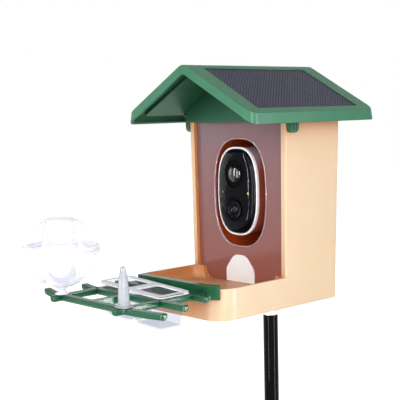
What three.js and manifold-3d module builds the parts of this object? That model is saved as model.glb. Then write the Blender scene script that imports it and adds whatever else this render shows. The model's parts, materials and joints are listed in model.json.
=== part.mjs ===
// A bird feeder with a wild-life camera, on the top section of its pole.
// Units are millimetres and +Z is up. The origin is the middle of the pole section's lower end.
// The house is modelled about its own zero: the front ends of its side walls, at its underside.
import * as THREE from 'three';
import { mergeVertices } from 'three/addons/utils/BufferGeometryUtils.js';
import Module from 'manifold-3d';

const wasm = await Module();
wasm.setup();

// Clearances that several pieces share
const seatGap = 0.3;
const pinGap = 0.25;
const slideGap = 0.35;
const overrun = 5;
const weldDistance = 0.0001;

// Counts of facets and steps
const cornerSteps = 3;
const wideSteps = 7;
const wideRadius = 9;
const ovalSteps = 32;
const roundSides = 24;
const smallSides = 12;

// Pole section
const tubeRadius = 8;
const tubeWall = 1.1;
const tubeLength = 200;
const poleSetback = 48.9;
const poleHeadRadius = 8.2;
const poleHeadDrop = 23;
const poleHeadSpigot = 20;
const spigotExposed = 27;
const spigotInside = 25;
const spigotChamfer = 1.5;
const studRadius = 3.9;
const poleHeight = poleHeadDrop + tubeLength + spigotExposed;

// House moulding: outline at the top of the walls, and how far it draws in at the underside
const wallHalfWidth = 70;
const wallRear = 84.3;
const wallHeight = 190;
const wallThickness = 3;
const flangeDepth = 9;
const flangeReach = 6.4;
const sideDraft = 2.75;
const rearDraft = 4.9;
const draftStart = 10;
const rearCornerRadius = 4;
const frontEdgeRadius = 1.6;

// Tray in front of the house
const trayFront = 92.65;
const trayRim = 31;
const trayCornerRadius = 23.5;
const trayWall = 3.4;
const trayFloorTop = 18;
const trayFloorThickness = 3;
const trayFloorFillet = 8;
const trayInnerRearRadius = 10;
const throatHalfWidth = 54.8;
const throatDepth = 12;
const throatFillet = 12;

// Base under the floor
const basePlateHeight = 3;
const basePlateThickness = 2.4;
const poleBossRadius = 14;
const nutRadius = 8;
const nutDepth = 8.8;
const screwBossRadius = 4.2;
const screwShankRadius = 1.4;
const screwHeadRadius = 2.9;
const screwHeadHeight = 1.5;
const screwReach = 7;
const screwSideInset = 13;
const screwFrontInset = 20;
const screwRearInset = 14;

// Front panel with its window and doorway
const panelSetback = 4.6;
const panelThickness = 2.1;
const panelTopDrop = 2;
const windowSideGap = 9.7;
const windowEndGap = 11.3;
const windowGateGap = 8;
const windowPower = 2.7;
const doorwayWidth = 31;
const doorwaySill = 2.2;

// Seed gate in front of the panel
const gateWidth = 41;
const gateTop = 47.4;
const gateShoulder = 15;
const gateCrown = 17;
const gatePlate = 1.2;
const gateNeckWidth = 12;
const gateNeckHeight = 7;
const gateBackWidth = 20;
const gateBackHeight = 12;
const gateTravel = 14;

// Seed ramp inside the house
const rampThickness = 2;
const rampFlatHalfWidth = 24;
const rampSideRise = 19.5;
const rampBayGap = 8.1;

// Camera bay inside the house
const bayWall = 2;
const bayMouthGap = 0.5;
const baySeatRadius = 11;
const bayRearThickness = 2.4;
const bayRearGap = 3.7;

// Camera
const cameraHalfWidth = 28.7;
const cellEndMargin = 13.8;
const cameraRise = 1.9;
const cameraSetback = 0.9;
const cameraDepth = 55;
const cameraPower = 2.7;
const bezelWidth = 2.1;
const bezelDepth = 4;
const shellInset = 0.7;
const shellWall = 2.2;
const faceBulge = 4;
const faceThickness = 2;
const faceSteps = 4;
const lensDrop = 18.9;
const lensRadius = 7;
const lensBarrelRadius = 9.5;
const lensProud = 0.7;
const lensDome = 1.6;
const sensorRise = 18.3;
const sensorDomeRadius = 9;
const sensorDomeHeight = 4.5;
const lightOffset = 18.4;
const lightDrop = 1.4;
const lightRadius = 1.5;
const micRadius = 0.9;
const boardSetback = 13;
const boardThickness = 1.6;
const boardHalfWidth = 21;
const boardEndMargin = 3.5;
const boardCornerRadius = 6;
const sensorCanRadius = 4.6;
const cellRadius = 9.2;
const cellLength = 65;
const cellSetback = 29.5;
const cradleRise = 8;
const cradleEnd = 2;
const cellSpacing = 19.2;
const speakerRadius = 9;
const speakerDepth = 4.5;
const buttonRadius = 3.4;
const buttonTravel = 0.8;
const buttonProud = buttonTravel * 2;
const buttonSetback = 38;
const buttonFlange = 1.2;
const portPlugWidth = 14;
const portPlugLength = 9.5;
const portPlugThickness = 1.8;
const portPlugSetback = 40;
const portHinge = 1.1;
const insertRadius = 5.2;
const insertDepth = 7;
const thumbShankRadius = 3;
const thumbKnobRadius = 10;
const thumbKnobDepth = 8;
const thumbFlats = 12;

// Roof
const roofSideOverhang = 20.1;
const roofCreaseRise = 6.9;
const roofRise = 49.7;
const roofFront = 69.3;
const roofFrontLean = 3;
const roofRearOverhang = 32.8;
const roofRearLean = -1.2;
const fasciaHeight = 10.7;
const fasciaFlare = 1.1;
const roofCornerRadius = 9;
const ridgeRadius = 12;
const innerRidgeRadius = 5;
const roofSkin = 3.2;
const roofLip = 3.2;
const roofBandDepth = 10.4;
const skirtThickness = 2.3;
const skirtGap = 0.7;
const skirtOverlap = 3.3;
const cellTop = 10.4;
const cellEaveMargin = 9.9;
const cellFrontMargin = 18.5;
const cellRearMargin = 20;
const cellRecess = 1;
const cellThickness = 2.6;
const pocketDepth = 6.6;
const pocketBorder = 3.4;
const leadHoleRadius = 3.2;
const leadHoleAlong = 58;
const leadHoleSetback = 40;
const grommetFlange = 1.4;

// Roof hinge behind the house
const hingeStandOff = 6;
const hingeDrop = 9;
const knuckleRadius = 4;
const hingePinRadius = 1.45;
const hingeOffset = 26;
const bodyKnuckleWidth = 6;
const roofKnuckleWidth = 9;
const hingePinOverhang = 1;
const hingeArmDrop = 11;

// Side latches
const latchFront = 0.5;
const latchWidth = 11.6;
const latchDrop = 10.7;
const latchTopGap = 0.8;
const latchPlate = 3;
const latchStandOff = 7;
const latchPinDrop = 2.6;
const latchPinRadius = 1.1;
const latchEar = 1.5;
const latchGripDepth = 0.8;
const latchGripWidth = 1.6;
const latchGripOffset = 2.3;
const latchTipRadius = 5.5;

// Perch rail on the tray's rim
const railThickness = 2.8;
const railRise = 3.6;
const railHeight = 13.6;
const railLip = 1.7;
const railLipDrop = 4.4;
const railLeftTurnShare = 0.13;
const railRightTurnShare = 0.51;

// Perch lattice
const barWidth = 7.4;
const barHeight = 6.4;
const barTopDrop = 6.2;
const barRound = 2.6;
const barBendSteps = 3;
const barCornerSteps = 2;
const barTopRound = 0.5;
const barEndShares = [[0, 0.6], [0.3, 0.86], [1, 1]];
const sideBarInset = 22.7;
const rearBarGap = 12.95;
const middleBarSpacing = 40;
const frontBarSpacing = 42.2;
const sideBarStub = 12;
const pegHoleRadius = 2.2;
const pegHoleDepth = 5;
const frontBarLeftReach = 26;
const frontBarRightReach = 51;
const frontBarLeftLift = 3.4;
const frontBarRightLift = 0.8;
const frontBarRightReturn = 4;
const middleBarLeftReach = 23;
const middleBarRightReach = 36;
const middleBarLeftLift = 2.2;
const rearBarReach = 20.5;

// Twin cup in the lattice's rear row
const cupFlangeEndGap = 1.3;
const cupFlangeThickness = 2.2;
const cupFlangeCorner = 5;
const cupFlangeSeat = 3.6;
const cupDepth = 33.6;
const cupWall = 1.5;
const cupTaper = 1.2;
const cupDivider = 6;
const cupEndGap = 5;
const cupCornerRadius = 3;
const cupSideGap = 0.9;
const cupTiltDegrees = 3.1;
const cupHeel = 4.4;
const cupHeelThickness = 1.6;

// Fruit spike
const spikeCollarRadius = 8;
const spikeCollarHeight = 5;
const spikeBaseRadius = 6.2;
const spikeTipRadius = 2.6;
const spikeTipShares = [0.5, 0.2];
const spikeHeight = 36.4;
const pegRadius = 1.9;
const pegLength = 4.4;

// Ball holder
const ballRadius = 34.5;
const ballWall = 2;
const ballStemLength = 8.2;
const ballFlangeReach = 2.9;
const ballSplit = 2.1;
const ballFlangeHalfHeight = 3.8;
const ballTopFlat = 2.2;
const ballBottomFlat = 1.6;
const ballStemRadius = 3.6;
const ballStemFlare = 7;
const ballRib = 5.66;
const ballWindowStart = 4.6;
const upperWindowStraight = 2;
const lowerWindowStraight = 4.2;
const ballWindowRise = 21.8;
const ballWindowCount = 6;
const ballWindowTurnDegrees = -31;
const ballRings = 4;
const ballSides = 24;

// Places that follow from the sizes above

const wallInner = wallHalfWidth - wallThickness;
const wallInnerRear = wallRear - wallThickness;
const cameraHalfHeight = cellLength / 2 + cellEndMargin;
const boardHalfHeight = cellLength / 2 + boardEndMargin;
const windowHalfWidth = cameraHalfWidth + windowSideGap;
const windowHalfHeight = cameraHalfHeight + windowEndGap;
const windowFoot = gateTop + windowGateGap;
const windowHeight = windowFoot + windowHalfHeight;
const rampLow = trayFloorTop + seatGap;
const rampRearRise = windowFoot - rampBayGap - rampThickness - rampLow;
const cameraHeight = windowHeight + cameraRise;
const bayRearSetback = wallInnerRear - bayRearGap;
const roofHalfWidth = wallHalfWidth + roofSideOverhang;
const roofCrease = wallHeight + roofCreaseRise;
const roofRidge = roofCrease + roofRise;
const roofRear = wallRear + roofRearOverhang;
const slopeShare = roofRise / roofHalfWidth;
const slopeAngle = Math.atan(slopeShare);
const eaveHeight = roofCrease - fasciaHeight;
const skirtBottom = wallHeight - skirtOverlap;
const cellBottom = roofHalfWidth / Math.cos(slopeAngle) - cellEaveMargin;
const cellFront = roofFront - cellFrontMargin;
const cellRear = roofRear - cellRearMargin;
const hingeSetback = wallRear + hingeStandOff;
const hingeHeight = wallHeight - hingeDrop;
const latchOuter = wallHalfWidth + latchStandOff;
const latchBottom = skirtBottom - latchDrop;
const latchTop = roofRidge - latchOuter * slopeShare - pocketDepth / Math.cos(slopeAngle) - latchTopGap;
const latchPinHeight = latchTop - latchPinDrop;
const railTop = trayRim + railRise;
const railBottom = railTop - railHeight;
const barTop = railTop - barTopDrop;
const sideBarOffset = wallHalfWidth - sideBarInset;
const cupFlangeHalfLength = sideBarOffset - cupFlangeEndGap;
const cupOuterReach = sideBarOffset - cupEndGap;
const rearBarSetback = trayFront + railThickness + rearBarGap;
const middleBarSetback = rearBarSetback + middleBarSpacing;
const frontBarSetback = middleBarSetback + frontBarSpacing;
const ballFlangeRadius = ballRadius + ballFlangeReach;
const ballFlangeTop = ballSplit + ballFlangeHalfHeight;
const ballFlangeFoot = ballSplit - ballFlangeHalfHeight;
const ballFlatTop = ballRadius - ballTopFlat;
const ballFlatBottom = ballRadius - ballBottomFlat;
const ballCentreHeight = barTop + ballStemLength + ballFlatBottom;
const ballWindowAngle = Math.PI / ballWindowCount - Math.asin(ballRib / 2 / ballRadius);
const ballWindowWidth = ballRadius * Math.sin(ballWindowAngle) * 2;

// Conversions between three.js geometries and solids

function solid(geometry) {
  const plain = geometry.index ? geometry.toNonIndexed() : geometry.clone();
  plain.deleteAttribute('normal');
  plain.deleteAttribute('uv');
  const merged = mergeVertices(plain, weldDistance);
  const index = merged.index.array;
  const kept = [];
  for (let i = 0; i < index.length; i += 3) {
    const [a, b, c] = [index[i], index[i + 1], index[i + 2]];
    if (a !== b && b !== c && c !== a) {
      kept.push(a, b, c);
    }
  }
  const vertProperties = new Float32Array(merged.attributes.position.array);
  return new wasm.Manifold(new wasm.Mesh({ numProp: 3, vertProperties, triVerts: new Uint32Array(kept) }));
}

function geometryOf(shape) {
  const mesh = shape.getMesh();
  const geometry = new THREE.BufferGeometry();
  geometry.setAttribute('position', new THREE.BufferAttribute(mesh.vertProperties, 3));
  geometry.setIndex(new THREE.BufferAttribute(mesh.triVerts, 1));
  return geometry;
}

function join(...shapes) {
  return shapes.reduce((sum, shape) => sum.add(shape));
}

function cut(shape, ...tools) {
  return tools.reduce((rest, tool) => rest.subtract(tool), shape);
}

function moved(shape, matrix) {
  const geometry = geometryOf(shape);
  geometry.applyMatrix4(matrix);
  return solid(geometry);
}

function mirroredX(shape) {
  const geometry = geometryOf(shape);
  geometry.scale(-1, 1, 1);
  const index = geometry.index.array;
  for (let i = 0; i < index.length; i += 3) {
    [index[i], index[i + 1]] = [index[i + 1], index[i]];
  }
  return solid(geometry);
}

// Outlines

function roundedOutline(corners, smallSteps = cornerSteps) {
  const points = [];
  corners.forEach(([x, y, radius], i) => {
    const here = new THREE.Vector2(x, y);
    const [beforeX, beforeY] = corners[(i + corners.length - 1) % corners.length];
    const [afterX, afterY] = corners[(i + 1) % corners.length];
    const back = new THREE.Vector2(beforeX, beforeY).sub(here).normalize();
    const ahead = new THREE.Vector2(afterX, afterY).sub(here).normalize();
    if (!radius) {
      points.push(here);
      return;
    }
    const half = Math.acos(THREE.MathUtils.clamp(back.dot(ahead), -1, 1)) / 2;
    const centre = back.clone().add(ahead).normalize().multiplyScalar(radius / Math.sin(half)).add(here);
    const start = back.clone().multiplyScalar(radius / Math.tan(half)).add(here).sub(centre);
    const end = ahead.clone().multiplyScalar(radius / Math.tan(half)).add(here).sub(centre);
    const turn = Math.atan2(start.cross(end), start.dot(end));
    const steps = radius > wideRadius ? wideSteps : smallSteps;
    for (let step = 0; step <= steps; step += 1) {
      const arm = start.clone().rotateAround(new THREE.Vector2(), turn * step / steps);
      points.push(arm.add(centre));
    }
  });
  return new THREE.Shape(points);
}

function ovalOutline(halfWidth, halfHeight, power, centreHeight) {
  const points = [];
  for (let step = 0; step < ovalSteps; step += 1) {
    const angle = 2 * Math.PI * step / ovalSteps;
    const across = Math.sign(Math.cos(angle)) * Math.abs(Math.cos(angle)) ** (2 / power);
    const up = Math.sign(Math.sin(angle)) * Math.abs(Math.sin(angle)) ** (2 / power);
    points.push(new THREE.Vector2(halfWidth * across, centreHeight + halfHeight * up));
  }
  return new THREE.Shape(points);
}

function rectangle(x0, x1, y0, y1, radius = 0) {
  return roundedOutline([[x0, y0, radius], [x1, y0, radius], [x1, y1, radius], [x0, y1, radius]]);
}

// Prisms and turned shapes. An outline for prismY is drawn in x and z, one for prismX in y and z.

function prismZ(outline, z0, z1) {
  const geometry = new THREE.ExtrudeGeometry(outline, { depth: z1 - z0, bevelEnabled: false });
  geometry.translate(0, 0, z0);
  return solid(geometry);
}

function prismY(outline, y0, y1) {
  const geometry = new THREE.ExtrudeGeometry(outline, { depth: y1 - y0, bevelEnabled: false });
  geometry.rotateX(Math.PI / 2);
  geometry.translate(0, y1, 0);
  return solid(geometry);
}

const alongX = new THREE.Matrix4().makeBasis(
  new THREE.Vector3(0, 1, 0),
  new THREE.Vector3(0, 0, 1),
  new THREE.Vector3(1, 0, 0),
);

function prismX(outline, x0, x1) {
  const geometry = new THREE.ExtrudeGeometry(outline, { depth: x1 - x0, bevelEnabled: false });
  geometry.applyMatrix4(alongX);
  geometry.translate(x0, 0, 0);
  return solid(geometry);
}

function box(x0, x1, y0, y1, z0, z1) {
  return prismZ(rectangle(x0, x1, y0, y1), z0, z1);
}

function roundRod(axis, radius, from, to, a, b, sides = roundSides) {
  const geometry = new THREE.CylinderGeometry(radius, radius, to - from, sides);
  const middle = (from + to) / 2;
  if (axis === 'x') {
    geometry.rotateZ(Math.PI / 2);
    geometry.translate(middle, a, b);
  } else if (axis === 'y') {
    geometry.translate(a, middle, b);
  } else {
    geometry.rotateX(Math.PI / 2);
    geometry.translate(a, b, middle);
  }
  return solid(geometry);
}

function turnedZ(profile, x, y, sides = roundSides) {
  const points = profile.map(([radius, height]) => new THREE.Vector2(radius, height));
  const geometry = new THREE.LatheGeometry(points, sides);
  geometry.rotateX(Math.PI / 2);
  geometry.translate(x, y, 0);
  return solid(geometry);
}

// A stack of equal rings of points, closed at both ends
function loft(rings) {
  const sides = rings[0].length;
  const positions = [];
  const triangle = (a, b, c) => positions.push(...a, ...b, ...c);
  const centreOf = (ring) => [0, 1, 2].map((k) => ring.reduce((sum, p) => sum + p[k], 0) / sides);
  const first = centreOf(rings[0]);
  const last = centreOf(rings[rings.length - 1]);
  for (let i = 0; i < sides; i += 1) {
    const next = (i + 1) % sides;
    for (let k = 0; k + 1 < rings.length; k += 1) {
      triangle(rings[k][i], rings[k][next], rings[k + 1][next]);
      triangle(rings[k][i], rings[k + 1][next], rings[k + 1][i]);
    }
    triangle(first, rings[0][next], rings[0][i]);
    triangle(last, rings[rings.length - 1][i], rings[rings.length - 1][next]);
  }
  const geometry = new THREE.BufferGeometry();
  geometry.setAttribute('position', new THREE.Float32BufferAttribute(positions, 3));
  return solid(geometry);
}

// The moulding's draft: the house draws in towards its underside
function drafted(shape) {
  const geometry = geometryOf(shape);
  const position = geometry.attributes.position;
  for (let i = 0; i < position.count; i += 1) {
    const x = position.getX(i);
    const y = position.getY(i);
    const low = 1 - position.getZ(i) / wallHeight;
    position.setX(i, x - x / wallHalfWidth * sideDraft * low);
    if (y > draftStart) {
      position.setY(i, y - (y - draftStart) / (wallRear - draftStart) * rearDraft * low);
    }
  }
  return solid(geometry);
}

const root = new THREE.Group();
const house = new THREE.Group();
house.position.set(0, -poleSetback, poleHeight);
root.add(house);

function place(name, shape, colour, roughness, metalness = 0, parent = house) {
  const material = new THREE.MeshStandardMaterial({ color: colour, roughness, metalness });
  const mesh = new THREE.Mesh(geometryOf(shape), material);
  mesh.name = name;
  parent.add(mesh);
  return mesh;
}

const peach = 0xf0cfa0;
const green = 0x3f8a5c;
const darkGreen = 0x2f6f49;
const clear = 0xe9ecf4;
const black = 0x101014;
const steel = 0xc9ccd0;

// House moulding

function housePlan(inset, cornerRadius, rearRadius) {
  const side = wallHalfWidth - inset;
  const front = trayFront - inset;
  const rear = wallRear - inset;
  return roundedOutline([
    [-side, -front, cornerRadius],
    [side, -front, cornerRadius],
    [side, rear, rearRadius],
    [-side, rear, rearRadius],
  ]);
}

function throatOutline(inset, top) {
  const half = throatHalfWidth - inset;
  const fillet = throatFillet - inset;
  const floor = trayFloorTop + inset;
  return roundedOutline([[-half, floor, fillet], [half, floor, fillet], [half, top, 0], [-half, top, 0]]);
}

const flangeInner = wallHalfWidth - flangeReach;
const cavityRearRadius = rearCornerRadius - wallThickness;
const grooveHalfWidth = wallHalfWidth - wallThickness;
const floorUnderside = trayFloorTop - trayFloorThickness;
const bossStart = basePlateHeight + basePlateThickness + seatGap;
const screwX = wallHalfWidth - screwSideInset;
const screwFrontY = screwFrontInset - trayFront;
const screwRearY = wallRear - screwRearInset;
const screwPlaces = [
  [-screwX, screwFrontY],
  [screwX, screwFrontY],
  [screwX, screwRearY],
  [-screwX, screwRearY],
];

function hopperOutline(inset) {
  const side = wallInner - inset;
  const rear = wallInnerRear - inset;
  return roundedOutline([
    [-side, flangeDepth, 0],
    [side, flangeDepth, 0],
    [side, rear, cavityRearRadius],
    [-side, rear, cavityRearRadius],
  ]);
}

function trayHollow() {
  const outline = roundedOutline([
    [trayWall - wallHalfWidth, trayWall - trayFront, trayCornerRadius - trayWall],
    [wallHalfWidth - trayWall, trayWall - trayFront, trayCornerRadius - trayWall],
    [wallHalfWidth - trayWall, 0, trayInnerRearRadius],
    [trayWall - wallHalfWidth, 0, trayInnerRearRadius],
  ]);
  const geometry = new THREE.ExtrudeGeometry(outline, {
    depth: trayRim - trayFloorTop - trayFloorFillet + seatGap,
    bevelEnabled: true,
    bevelThickness: trayFloorFillet,
    bevelSize: trayFloorFillet,
    bevelOffset: -trayFloorFillet,
    bevelSegments: cornerSteps,
  });
  geometry.translate(0, 0, trayFloorTop + trayFloorFillet);
  return solid(geometry);
}

function houseMoulding() {
  const walls = roundedOutline([
    [-wallHalfWidth, 0, frontEdgeRadius],
    [wallHalfWidth, 0, frontEdgeRadius],
    [wallHalfWidth, wallRear, rearCornerRadius],
    [-wallHalfWidth, wallRear, rearCornerRadius],
  ]);
  const top = wallHeight + overrun;
  const grooveFront = panelSetback - seatGap;
  const grooveRear = panelSetback + panelThickness + seatGap;
  let shape = join(
    prismZ(housePlan(0, trayCornerRadius, rearCornerRadius), 0, trayRim),
    prismZ(walls, trayFloorTop, wallHeight),
  );
  shape = cut(
    shape,
    prismZ(hopperOutline(0), trayFloorTop, top),
    box(-flangeInner, flangeInner, -overrun, flangeDepth + seatGap, trayRim, top),
    box(-grooveHalfWidth, grooveHalfWidth, grooveFront, grooveRear, trayRim, top),
    prismY(throatOutline(0, trayRim + overrun), -throatDepth, flangeDepth + seatGap),
    trayHollow(),
    prismZ(
      housePlan(wallThickness, trayCornerRadius - wallThickness, cavityRearRadius),
      -overrun,
      floorUnderside,
    ),
  );
  shape = drafted(shape);
  const bosses = screwPlaces.map(([x, y]) => (
    roundRod('z', screwBossRadius, bossStart, trayFloorTop - seatGap, x, y, smallSides)
  ));
  const pilots = screwPlaces.map(([x, y]) => (
    roundRod('z', screwShankRadius + pinGap, 0, bossStart + screwReach + seatGap, x, y, smallSides)
  ));
  shape = join(
    shape,
    ...bosses,
    roundRod('z', poleBossRadius, bossStart, trayFloorTop - seatGap, 0, poleSetback),
    roundRod('y', baySeatRadius, bayRearSetback + seatGap, wallInnerRear, 0, cameraHeight),
  );
  for (const side of [-1, 1]) {
    for (const outward of [-1, 1]) {
      const near = side * hingeOffset + outward * (roofKnuckleWidth / 2 + seatGap);
      const far = near + outward * bodyKnuckleWidth;
      const low = Math.min(near, far);
      const high = Math.max(near, far);
      const arm = roundedOutline([
        [wallInnerRear, hingeHeight - hingeArmDrop, 0],
        [wallRear, hingeHeight - hingeArmDrop, 0],
        [hingeSetback + knuckleRadius, hingeHeight, 0],
        [hingeSetback, hingeHeight + knuckleRadius, 0],
        [wallInnerRear, hingeHeight + knuckleRadius, 0],
      ]);
      shape = join(
        shape,
        prismX(arm, low, high),
        roundRod('x', knuckleRadius, low, high, hingeSetback, hingeHeight, smallSides * 2),
      );
    }
  }
  const pinHole = wallHalfWidth + overrun;
  return cut(
    shape,
    ...pilots,
    roundRod('z', nutRadius + seatGap, 0, bossStart + nutDepth + seatGap, 0, poleSetback),
    roundRod('y', thumbShankRadius + seatGap, bayRearSetback, wallRear + overrun, 0, cameraHeight),
    roundRod('x', hingePinRadius + pinGap, -pinHole, pinHole, hingeSetback, hingeHeight, smallSides),
  );
}

place('house_shell', houseMoulding(), peach, 0.45);

function basePlate() {
  const inset = wallThickness + seatGap;
  const plate = drafted(prismZ(
    housePlan(inset, trayCornerRadius - inset, cavityRearRadius - seatGap),
    basePlateHeight,
    basePlateHeight + basePlateThickness,
  ));
  const low = basePlateHeight - overrun;
  const high = basePlateHeight + basePlateThickness + overrun;
  return cut(
    plate,
    roundRod('z', studRadius + seatGap, low, high, 0, poleSetback),
    ...screwPlaces.map(([x, y]) => roundRod('z', screwShankRadius + seatGap, low, high, x, y, smallSides)),
  );
}

place('base_plate', basePlate(), peach, 0.55);

screwPlaces.forEach(([x, y], i) => {
  const under = basePlateHeight - seatGap;
  const profile = [
    [0, under - screwHeadHeight],
    [screwHeadRadius, under - screwHeadHeight],
    [screwHeadRadius, under],
    [screwShankRadius, under],
    [screwShankRadius, bossStart + screwReach],
    [0, bossStart + screwReach],
  ];
  place(`base_screw_${i + 1}`, turnedZ(profile, x, y, smallSides), steel, 0.35, 0.9);
});

// Pole section, its threaded head and the nut in the base

const nutProfile = [
  [studRadius + seatGap, bossStart + seatGap],
  [nutRadius, bossStart + seatGap],
  [nutRadius, bossStart + nutDepth],
  [studRadius + seatGap, bossStart + nutDepth],
  [studRadius + seatGap, bossStart + seatGap],
];
place('pole_nut', turnedZ(nutProfile, 0, poleSetback), 0xb99a55, 0.4, 0.9);

const spigotRadius = tubeRadius - tubeWall - seatGap;
const headShoulder = basePlateHeight - seatGap;
const headProfile = [
  [0, -poleHeadDrop - poleHeadSpigot],
  [spigotRadius, -poleHeadDrop - poleHeadSpigot],
  [spigotRadius, -poleHeadDrop],
  [poleHeadRadius - seatGap, -poleHeadDrop],
  [poleHeadRadius, seatGap - poleHeadDrop],
  [poleHeadRadius, headShoulder],
  [studRadius, headShoulder],
  [studRadius, bossStart + nutDepth],
  [0, bossStart + nutDepth],
];
place('pole_head', turnedZ(headProfile, 0, poleSetback), steel, 0.15, 1);

const tubeTop = -poleHeadDrop - seatGap;
const tubeBottom = tubeTop - tubeLength + seatGap;
const tubeProfile = [
  [tubeRadius - tubeWall, tubeBottom],
  [tubeRadius, tubeBottom],
  [tubeRadius, tubeTop],
  [tubeRadius - tubeWall, tubeTop],
  [tubeRadius - tubeWall, tubeBottom],
];
place('pole_tube', turnedZ(tubeProfile, 0, poleSetback), black, 0.2, 0.3);

const spigotProfile = [
  [0, -poleHeight],
  [spigotRadius - spigotChamfer, -poleHeight],
  [spigotRadius, spigotChamfer - poleHeight],
  [spigotRadius, tubeBottom + spigotInside],
  [0, tubeBottom + spigotInside],
];
place('pole_spigot', turnedZ(spigotProfile, 0, poleSetback), steel, 0.3, 0.9);

// Front panel with its window and doorway

function archOutline(halfWidth, bottom, shoulder, crown, top) {
  const run = halfWidth - crown / 2;
  return roundedOutline([
    [-halfWidth, bottom, 0],
    [halfWidth, bottom, 0],
    [halfWidth, shoulder, run],
    [crown / 2, top, run],
    [-crown / 2, top, run],
    [-halfWidth, shoulder, run],
  ]);
}

function windowOutline(reach) {
  return ovalOutline(windowHalfWidth + reach, windowHalfHeight + reach, windowPower, windowHeight);
}

function frontPanel() {
  const shoulder = trayRim + seatGap;
  const wide = grooveHalfWidth - seatGap;
  const front = panelSetback;
  const rear = panelSetback + panelThickness;
  const plate = join(
    prismY(throatOutline(seatGap, shoulder + seatGap), front, rear),
    prismY(rectangle(-wide, wide, shoulder, wallHeight - panelTopDrop), front, rear),
  );
  const doorway = archOutline(
    doorwayWidth / 2,
    trayFloorTop + doorwaySill,
    gateTop - gateShoulder,
    gateCrown,
    trayFloorTop + doorwaySill + gateNeckHeight + gateTravel + slideGap * 2,
  );
  return cut(
    drafted(plate),
    prismY(windowOutline(0), -overrun, rear + overrun),
    prismY(doorway, -overrun, rear + overrun),
  );
}

place('front_panel', frontPanel(), 0x96706a, 0.1);

function seedGate() {
  const bottom = trayFloorTop + seatGap;
  const plateRear = panelSetback - seatGap;
  const backFront = panelSetback + panelThickness + seatGap;
  const neckLow = trayFloorTop + doorwaySill + slideGap;
  const face = archOutline(gateWidth / 2, bottom, gateTop - gateShoulder, gateCrown, gateTop);
  return join(
    prismY(face, plateRear - gatePlate, plateRear),
    box(-gateNeckWidth / 2, gateNeckWidth / 2, plateRear - gatePlate / 2, backFront + gatePlate / 2,
      neckLow, neckLow + gateNeckHeight),
    box(-gateBackWidth / 2, gateBackWidth / 2, backFront, backFront + gatePlate,
      neckLow, neckLow + gateBackHeight),
  );
}

place('seed_gate', seedGate(), 0xf6f4f2, 0.4);

// Seed ramp: side slopes and a floor that all fall towards the gate

function seedRamp() {
  const reach = grooveHalfWidth - seatGap;
  const outline = new THREE.Shape([
    new THREE.Vector2(-reach, rampLow + rampSideRise),
    new THREE.Vector2(-rampFlatHalfWidth, rampLow),
    new THREE.Vector2(rampFlatHalfWidth, rampLow),
    new THREE.Vector2(reach, rampLow + rampSideRise),
    new THREE.Vector2(reach, rampLow + rampSideRise + rampThickness),
    new THREE.Vector2(rampFlatHalfWidth, rampLow + rampThickness),
    new THREE.Vector2(-rampFlatHalfWidth, rampLow + rampThickness),
    new THREE.Vector2(-reach, rampLow + rampSideRise + rampThickness),
  ]);
  const front = flangeDepth + seatGap;
  const rear = wallInnerRear - seatGap;
  const geometry = geometryOf(prismY(outline, front, rear));
  const position = geometry.attributes.position;
  for (let i = 0; i < position.count; i += 1) {
    const back = (position.getY(i) - front) / (rear - front);
    position.setZ(i, position.getZ(i) + rampRearRise * back);
  }
  const within = prismZ(hopperOutline(seatGap), 0, wallHeight);
  return drafted(solid(geometry).intersect(within));
}

place('seed_ramp', seedRamp(), 0xb8733a, 0.6);

// Camera bay: an oval tunnel from the window to the rear wall

const cameraRear = cameraSetback + cameraDepth;

function thumbHole(rear) {
  return roundRod('y', thumbShankRadius + seatGap, cameraRear - overrun, rear, 0, cameraHeight);
}

function cameraBay() {
  const mouth = panelSetback + panelThickness + seatGap;
  const innerRear = bayRearSetback - bayRearThickness;
  return cut(
    join(
      cut(
        prismY(windowOutline(bayMouthGap + bayWall), mouth, bayRearSetback),
        prismY(windowOutline(bayMouthGap), mouth - overrun, innerRear),
      ),
      roundRod('y', baySeatRadius, cameraRear + seatGap, innerRear + bayRearThickness / 2, 0, cameraHeight),
    ),
    thumbHole(bayRearSetback + overrun),
  );
}

place('camera_bay', cameraBay(), 0x9c3f14, 0.5);

// Camera casing

function cameraOval(inset) {
  return ovalOutline(cameraHalfWidth - inset, cameraHalfHeight - inset, cameraPower, cameraHeight);
}

const bezelRear = cameraSetback + bezelDepth;
const shellFront = bezelRear + seatGap;
const shellInner = shellInset + shellWall;
const lensHeight = cameraHeight - lensDrop;
const sensorHeight = cameraHeight + sensorRise;
const cameraTop = cameraHeight + cameraHalfHeight - shellInset;
const cameraBottom = cameraHeight - cameraHalfHeight + shellInset;

place('camera_bezel', cut(
  prismY(cameraOval(0), cameraSetback, bezelRear),
  prismY(cameraOval(bezelWidth), cameraSetback - overrun, bezelRear + overrun),
), 0xf4f4f6, 0.3);

place('camera_shell', cut(
  join(
    cut(
      prismY(cameraOval(shellInset), shellFront, cameraRear),
      prismY(cameraOval(shellInner), shellFront - overrun, cameraRear - shellWall),
    ),
    roundRod('y', insertRadius + shellWall, cameraRear - insertDepth - seatGap, cameraRear - shellWall / 2,
      0, cameraHeight),
  ),
  roundRod(
    'y',
    insertRadius + seatGap,
    cameraRear - insertDepth - overrun,
    cameraRear - seatGap - shellWall / 2,
    0,
    cameraHeight,
  ),
  thumbHole(cameraRear + overrun),
  roundRod('z', buttonRadius + seatGap, cameraTop - overrun, cameraTop + overrun, 0, buttonSetback),
), 0xe6e2de, 0.45);

// The face is a shallow dome with round openings for the lens and the motion sensor
function faceRing(y, shareOfWidth) {
  const outline = ovalOutline(
    (cameraHalfWidth - bezelWidth - seatGap) * shareOfWidth,
    (cameraHalfHeight - bezelWidth - seatGap) * shareOfWidth,
    cameraPower,
    0,
  );
  return outline.getPoints().slice(0, ovalSteps).map((p) => [p.x, y, cameraHeight + p.y]);
}

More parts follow.
